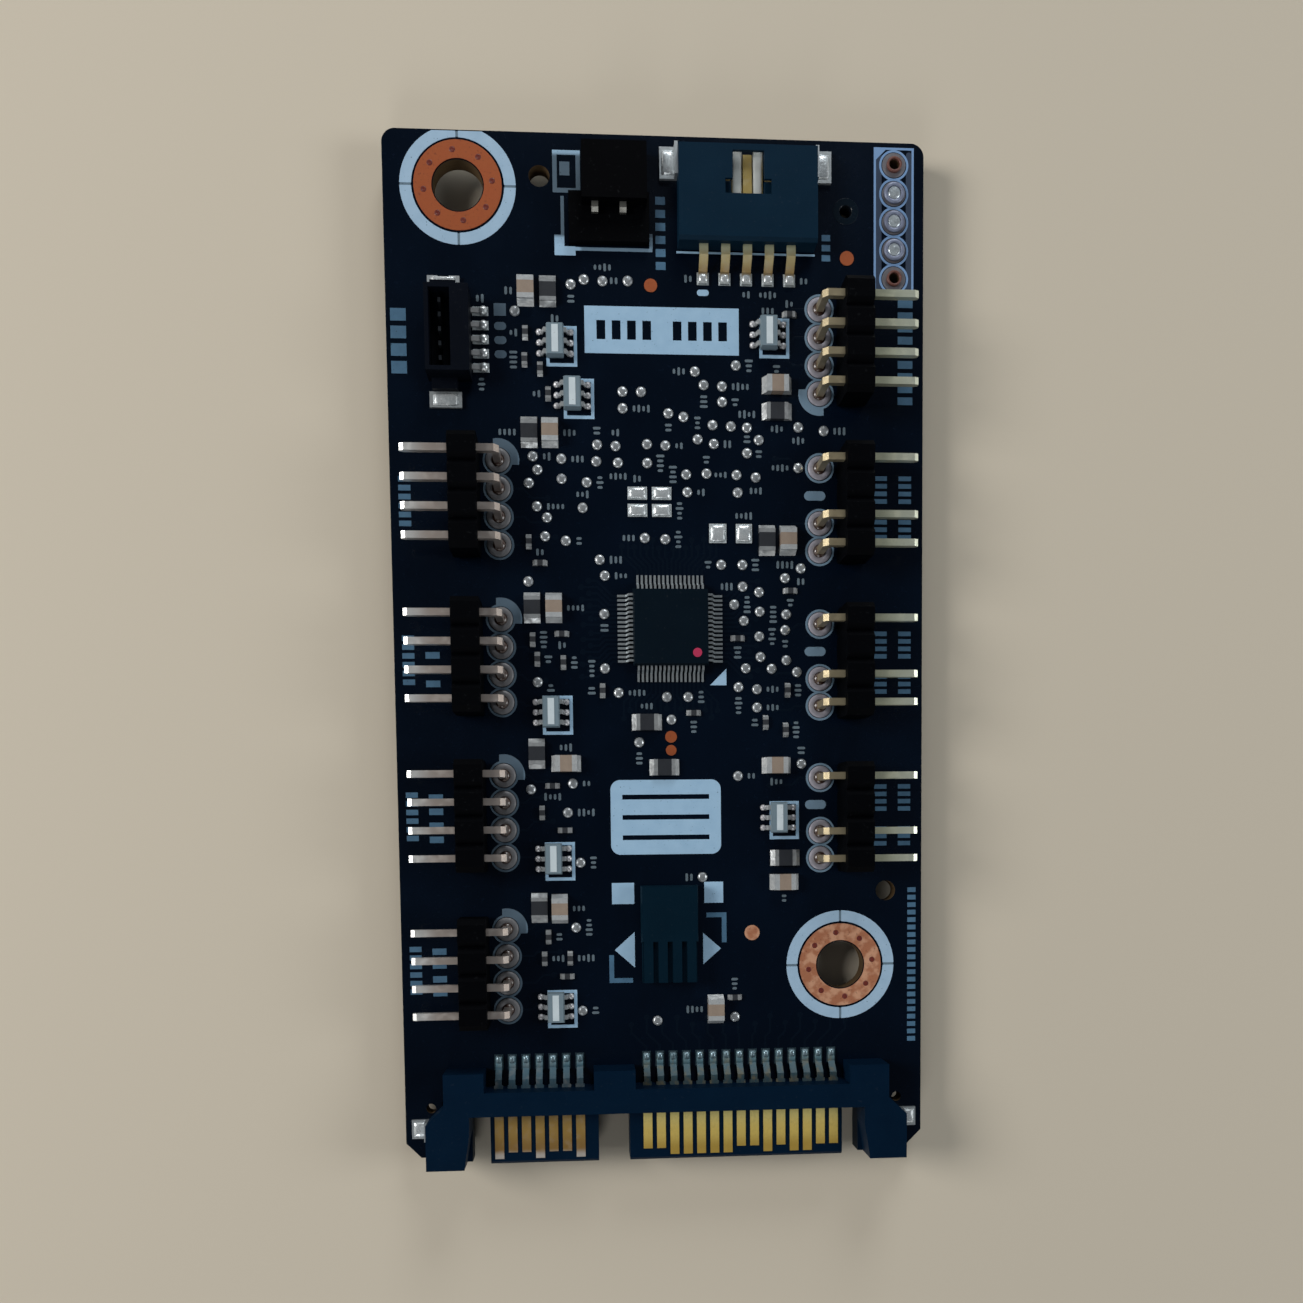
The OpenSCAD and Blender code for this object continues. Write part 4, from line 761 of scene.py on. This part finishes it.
# rounded solder on the side socket's feet and on the feet of the six-lead chips; the profile is
# for a radius of 1
blobSettings = {
    "profile": [(0, 0), (1, 0), (0.92, 0.3), (0.66, 0.62), (0.32, 0.8), (0, 0.86)],
    "sideRadius": 0.42, "sideBack": 0.34, "sideLift": 0.12, "sideSides": 14,
    "leadRadius": 0.3, "leadBack": 0.22, "leadLift": 0.08, "leadSides": 12}
blob = np.array(blobSettings["profile"])
low, high = islands("side_contacts")
sideFeet = np.stack([
    high[:, 0] - blobSettings["sideBack"], (low[:, 1] + high[:, 1]) / 2,
    low[:, 2] + blobSettings["sideLift"]], axis=1)
turnedPiece(
    "sideFeet", sideFeet, blob * blobSettings["sideRadius"], blobSettings["sideSides"],
    brightSolder)
low, high = islands("six_lead_leads")
leads = (low + high) / 2
chips = centresOf("six_lead_chips", 0.0)
owner = np.linalg.norm(leads[:, None, :2] - chips[None, :, :2], axis=2).argmin(axis=1)
outward = np.sign(leads[:, 0] - chips[owner, 0])
leadEnd = np.where(outward > 0, high[:, 0], low[:, 0])
leadFeet = np.stack([
    leadEnd - outward * blobSettings["leadBack"], leads[:, 1],
    low[:, 2] + blobSettings["leadLift"]], axis=1)
turnedPiece(
    "leadFeet", leadFeet, blob * blobSettings["leadRadius"], blobSettings["leadSides"],
    solderPaint("leadSolder", (0.58, 0.58, 0.60), (0.36, 0.36, 0.38), rough=0.28, metal=0.4))

# a darker collar round the domed solder of the spare row, and copper rims in its two open holes
spareSettings = {
    "collar": [(0.62, -0.1), (0.98, -0.1), (0.94, 0.02), (0.78, 0.05), (0.64, 0.03), (0.62, -0.1)],
    "rim": [(0.5, -0.3), (0.7, -0.3), (0.7, -0.01), (0.6, 0.03), (0.5, -0.01), (0.5, -0.3)],
    "sides": 20}
spareLow, spareHigh = islands("spare_solder")
spareTop = (spareLow + spareHigh) / 2
spareTop[:, 2] = spareHigh[:, 2]
turnedPiece(
    "spareCollars", spareTop, spareSettings["collar"], spareSettings["sides"],
    solderPaint("collarSolder", (0.20, 0.23, 0.33), (0.13, 0.15, 0.22), rough=0.34, metal=0.15))
spareEnds = spareTop[[0, -1]]
spareEnds[:, 1] = spareTop[:, 1].min() - headerPitch, spareTop[:, 1].max() + headerPitch
turnedPiece(
    "spareRims", spareEnds, spareSettings["rim"], spareSettings["sides"],
    ceramicPaint("barrelCopper", (0.085, 0.028, 0.020), (0.16, 0.055, 0.040), rough=0.4))

# dark lining and ring of the small test hole beside the lamp socket, placed from the far corner
testHoleSettings = {
    "inset": (7.3, 6.2), "sides": 28,
    "profile": [
        (0.57, -1.5), (0.6, -1.5), (0.6, -0.01), (1.2, -0.01), (1.17, 0.02), (0.62, 0.02),
        (0.57, -0.02), (0.57, -1.5)]}
coverFibre = (0.002, 0.006, 0.014)
insetX, insetY = testHoleSettings["inset"]
turnedPiece(
    "testHoleRing", np.array([(boardHigh.x - insetX, boardHigh.y - insetY, boardTop)]),
    testHoleSettings["profile"], testHoleSettings["sides"],
    maskPaint("maskOverRing", (0.0016, 0.0050, 0.0095), (0.0030, 0.0095, 0.0180), coverFibre),
    smooth=False)

# a dark brown collar round every header pin, shaped like wicked-up solder, and a rim on its
# ring pad
pinSettings = {
    "beyond": 12,   # the header pins stand further from the middle than this
    "collarProfile": [
        (0.28, -0.3), (0.48, -0.3), (0.6, 0.07), (0.54, 0.15), (0.4, 0.24), (0.28, 0.3),
        (0.28, -0.3)],
    "rim": [(0.56, 0.05), (1.13, 0.02), (1.09, 0.11), (0.84, 0.14), (0.64, 0.14), (0.56, 0.05)],
    "collarSides": 16, "rimSides": 20,
    # painted light and shade: the same solder, darker on the left column than the right
    "rimShadeColours": [(-1, (0.19, 0.19, 0.20)), (1, (0.33, 0.32, 0.37))]}   # left and right column
pinMiddles = centresOf("solder_joints", boardTop)
headerPins = pinMiddles[np.abs(pinMiddles[:, 0]) > pinSettings["beyond"]]
turnedPiece(
    "brownCollars", headerPins, pinSettings["collarProfile"], pinSettings["collarSides"],
    brownCollarPaint("brownCollarCoat", (0.060, 0.024, 0.014), (0.020, 0.012, 0.010)))
# rims coloured by column as painted light and shade
turnedPiece(
    "padRims", headerPins, pinSettings["rim"], pinSettings["rimSides"],
    bandPaint("rimTinShaded", "x", pinSettings["rimShadeColours"], rough=0.36, metal=0.15))

# underside pads round every pin that goes through
underSettings = {
    "drop": 1.66, "sides": 20,
    "profile": [(0.9, 0), (1.25, 0), (1.25, 0.08), (0.9, 0.08), (0.9, 0)]}
turnedPiece(
    "undersideRings", centresOf("solder_joints", boardTop - underSettings["drop"]),
    underSettings["profile"], underSettings["sides"], finishes["ring_pads"])
print("domes, collars and rims made")

# faint copper tracks under the mask, from the pins, leads and contacts, and the small holes where
# they end, closed over by the mask
trackSettings = {
    "seed": 7, "width": 0.2, "height": 0.004,
    "spread": 1.3, "leastStep": 0.1, "run": 1.1, "leastRun": 0.35, "tails": (0.8, 1.5),
    "leadClear": 0.8, "contactClear": 0.2,
    "pinClear": 1.45, "pinRuns": (0.4, 1.2), "pinSlant": 0.7, "pinTail": 2,
    "via": [(0, 0), (0.27, 0), (0.24, 0.005), (0, 0.005)], "viaSides": 12}

def fanPaths(starts, heading, settings):
    # a row of tracks that fans out: the middle ones run straight the longest, the outer ones turn
    # first and step furthest sideways, at 45 degrees, so that none meets its neighbour
    side = np.array([-heading[1], heading[0]])
    offset = starts @ side - (starts @ side).mean()
    share = offset / np.abs(offset).max()
    step = np.abs(share)[:, None] * settings["spread"] + settings["leastStep"]
    run = settings["leastRun"] + (1 - np.abs(share)[:, None]) * settings["run"]
    tail = np.resize(settings["tails"], len(starts))[:, None]
    first = starts + heading * run
    second = first + (heading + side * np.where(share < 0, -1, 1)[:, None]) * step
    return np.stack([starts, first, second, second + heading * tail], axis=1)

def pinPaths(settings):
    # one track from every header pin towards the middle, with a slanted step of random length
    draw = np.random.default_rng(settings["seed"])
    inward = -np.sign(headerPins[:, 0])[:, None] * np.array([1.0, 0.0])
    turn = draw.choice([-1.0, 1.0], (len(headerPins), 1)) * np.array([0.0, 1.0])
    runs = draw.uniform(*settings["pinRuns"], (3, len(headerPins), 1))
    start = headerPins[:, :2] + inward * settings["pinClear"]
    first = start + inward * runs[0]
    second = first + (inward + turn) * runs[1] * settings["pinSlant"]
    last = second + inward * runs[2] * settings["pinTail"]
    return np.stack([start, first, second, last], axis=1)

def leadPaths(settings):
    # a fan from each side of the controller
    low, high = islands("controller_leads")
    middle = ((low + high) / 2)[:, :2]
    hub = (middle.min(axis=0) + middle.max(axis=0)) / 2
    wide = (high - low)[:, 0] > (high - low)[:, 1]
    fans = []
    for heading in np.array([(1.0, 0.0), (-1.0, 0.0), (0.0, 1.0), (0.0, -1.0)]):
        mine = middle[(wide == bool(heading[0])) & ((middle - hub) @ heading > 0)]
        mine = mine[np.argsort(mine @ heading[::-1])]
        fans.append(fanPaths(mine + heading * settings["leadClear"], heading, settings))
    return np.concatenate(fans)

def contactPaths(settings):
    # a fan from the tails of the power contacts
    low, high = islands("power_contacts")
    tops = np.stack([(low[:, 0] + high[:, 0]) / 2, high[:, 1] + settings["contactClear"]], axis=1)
    return fanPaths(tops[np.argsort(tops[:, 0])], np.array([0.0, 1.0]), settings)

tracks = np.concatenate([make(trackSettings) for make in (pinPaths, leadPaths, contactPaths)])
trackMask = maskPaint(
    "maskOverCopper", (0.0012, 0.0036, 0.0085), (0.0022, 0.0075, 0.0170), coverFibre)
ribbonPiece(
    "copperTracks", tracks, trackSettings["width"], trackSettings["height"],
    trackMask)
viaMiddles = np.concatenate([tracks[:, -1], np.full((len(tracks), 1), boardTop)], axis=1)
turnedPiece(
    "trackVias", viaMiddles, trackSettings["via"], trackSettings["viaSides"],
    trackMask, smooth=False)
print("tracks and vias made")

# small print: short words of plain bars beside the small parts, wherever the board is free
markSettings = {
    "seed": 21, "bars": (2, 5), "bar": (0.42, 0.78), "line": 0.24, "pitch": 0.44,
    "gap": 0.12, "clear": 0.25, "edge": 1.5, "plugClear": 4.0, "dotShare": 0.85,
    "thickness": 0.02,
    "parts": ("capacitors", "resistors", "small_resistors", "six_lead_chips", "controller"),
    "dots": ("test_dots", "tinned_pads")}

def occupiedBoxes(settings):
    # low and high corner, in x and y, of every solid on the board and of the plug with its pads
    boxes = [islands(name) for name in nodes if name not in ("circuit_board", "solder_joints")]
    boxes = [np.concatenate([low[:, :2], high[:, :2]], axis=1) for low, high in boxes]
    plug = np.array([[plugLow.x, plugLow.y, plugHigh.x, plugHigh.y + settings["plugClear"]]])
    return np.concatenate([*boxes, plug])

def markStrokes(settings):
    # a word is a row of bars of uneven height; it stands beside a part, on the first of four sides
    # where its box meets no other part and no other word
    draw = np.random.default_rng(settings["seed"])
    occupied = occupiedBoxes(settings)
    inkLow = np.array(boardLow.xy) + settings["edge"]
    inkHigh = np.array(boardHigh.xy) - settings["edge"]
    hosts = []
    for name in settings["parts"] + settings["dots"]:
        share = settings["dotShare"] if name in settings["dots"] else 1.0
        hosts += [box for box in zip(*islands(name)) if draw.random() < share]
    rows = []
    for low, high in hosts:
        count = int(draw.integers(*settings["bars"]))
        long, tall = count * settings["pitch"], settings["bar"][1]
        middle, half = (low + high)[:2] / 2, (high - low)[:2] / 2
        for side in draw.permutation(4):
            isAcross = bool(draw.integers(0, 2))
            size = np.array([long, tall] if isAcross else [tall, long]) / 2
            away = np.array([(1, 0), (-1, 0), (0, 1), (0, -1)])[side]
            place = middle + away * (half + size + settings["gap"] + settings["clear"])
            near, far = place - size - settings["gap"], place + size + settings["gap"]
            hit = (occupied[:, :2] < far).all(axis=1) & (occupied[:, 2:] > near).all(axis=1)
            if hit.any() or (place < inkLow).any() or (place > inkHigh).any():
                continue
            occupied = np.vstack([occupied, [*near, *far]])
            turn = np.pi / 2 if isAcross else 0.0
            for slide in (np.arange(count) - (count - 1) / 2) * settings["pitch"]:
                x, y = place + ((slide, 0) if isAcross else (0, slide))
                rows.append((x, y, draw.uniform(*settings["bar"]), settings["line"], turn))
            break
    return rows

markInk = inkPaint("markInk", (0.14, 0.185, 0.215), (0.070, 0.100, 0.125))
strokePiece(
    "partMarks", markStrokes(markSettings), markSettings["thickness"], markInk)

# thin ink over the four breaks of each printed ring, kept inside the board's edge
bridgeSettings = {"inner": 4.17, "outer": 5.18, "width": 0.24, "edge": 0.12, "thickness": 0.012}

def bridgeStrokes(settings):
    bridges = []
    for x, y in ringMiddles[:, :2]:
        room = (boardHigh.x - x, boardHigh.y - y, x - boardLow.x, y - boardLow.y)
        for turn, space in zip(np.radians([0, 90, 180, 270]), room):
            outer = min(settings["outer"], space - settings["edge"])
            middle = (settings["inner"] + outer) / 2
            bridges.append((
                x + middle * np.cos(turn), y + middle * np.sin(turn), outer - settings["inner"],
                settings["width"], turn))
    return bridges

bridgeInk = inkPaint("bridgeInk", (0.15, 0.22, 0.28), (0.090, 0.140, 0.185))
strokePiece(
    "ringBridges", bridgeStrokes(bridgeSettings), bridgeSettings["thickness"],
    bridgeInk)

# a thin wash of ink on both sides of the spare row, inside its frame
washSettings = {"offset": 1.42, "width": 0.56, "length": 12.6, "thickness": 0.012}
spareX = (spareLow[0, 0] + spareHigh[0, 0]) / 2
spareY = (spareLow[:, 1].min() + spareHigh[:, 1].max()) / 2
washStrokes = [
    (spareX + side * washSettings["offset"], spareY, washSettings["length"],
     washSettings["width"], np.pi / 2)
    for side in (-1, 1)]
washInk = inkPaint("washInk", (0.028, 0.046, 0.085), (0.016, 0.028, 0.055))
strokePiece("spareWash", washStrokes, washSettings["thickness"], washInk)
print("marks made")
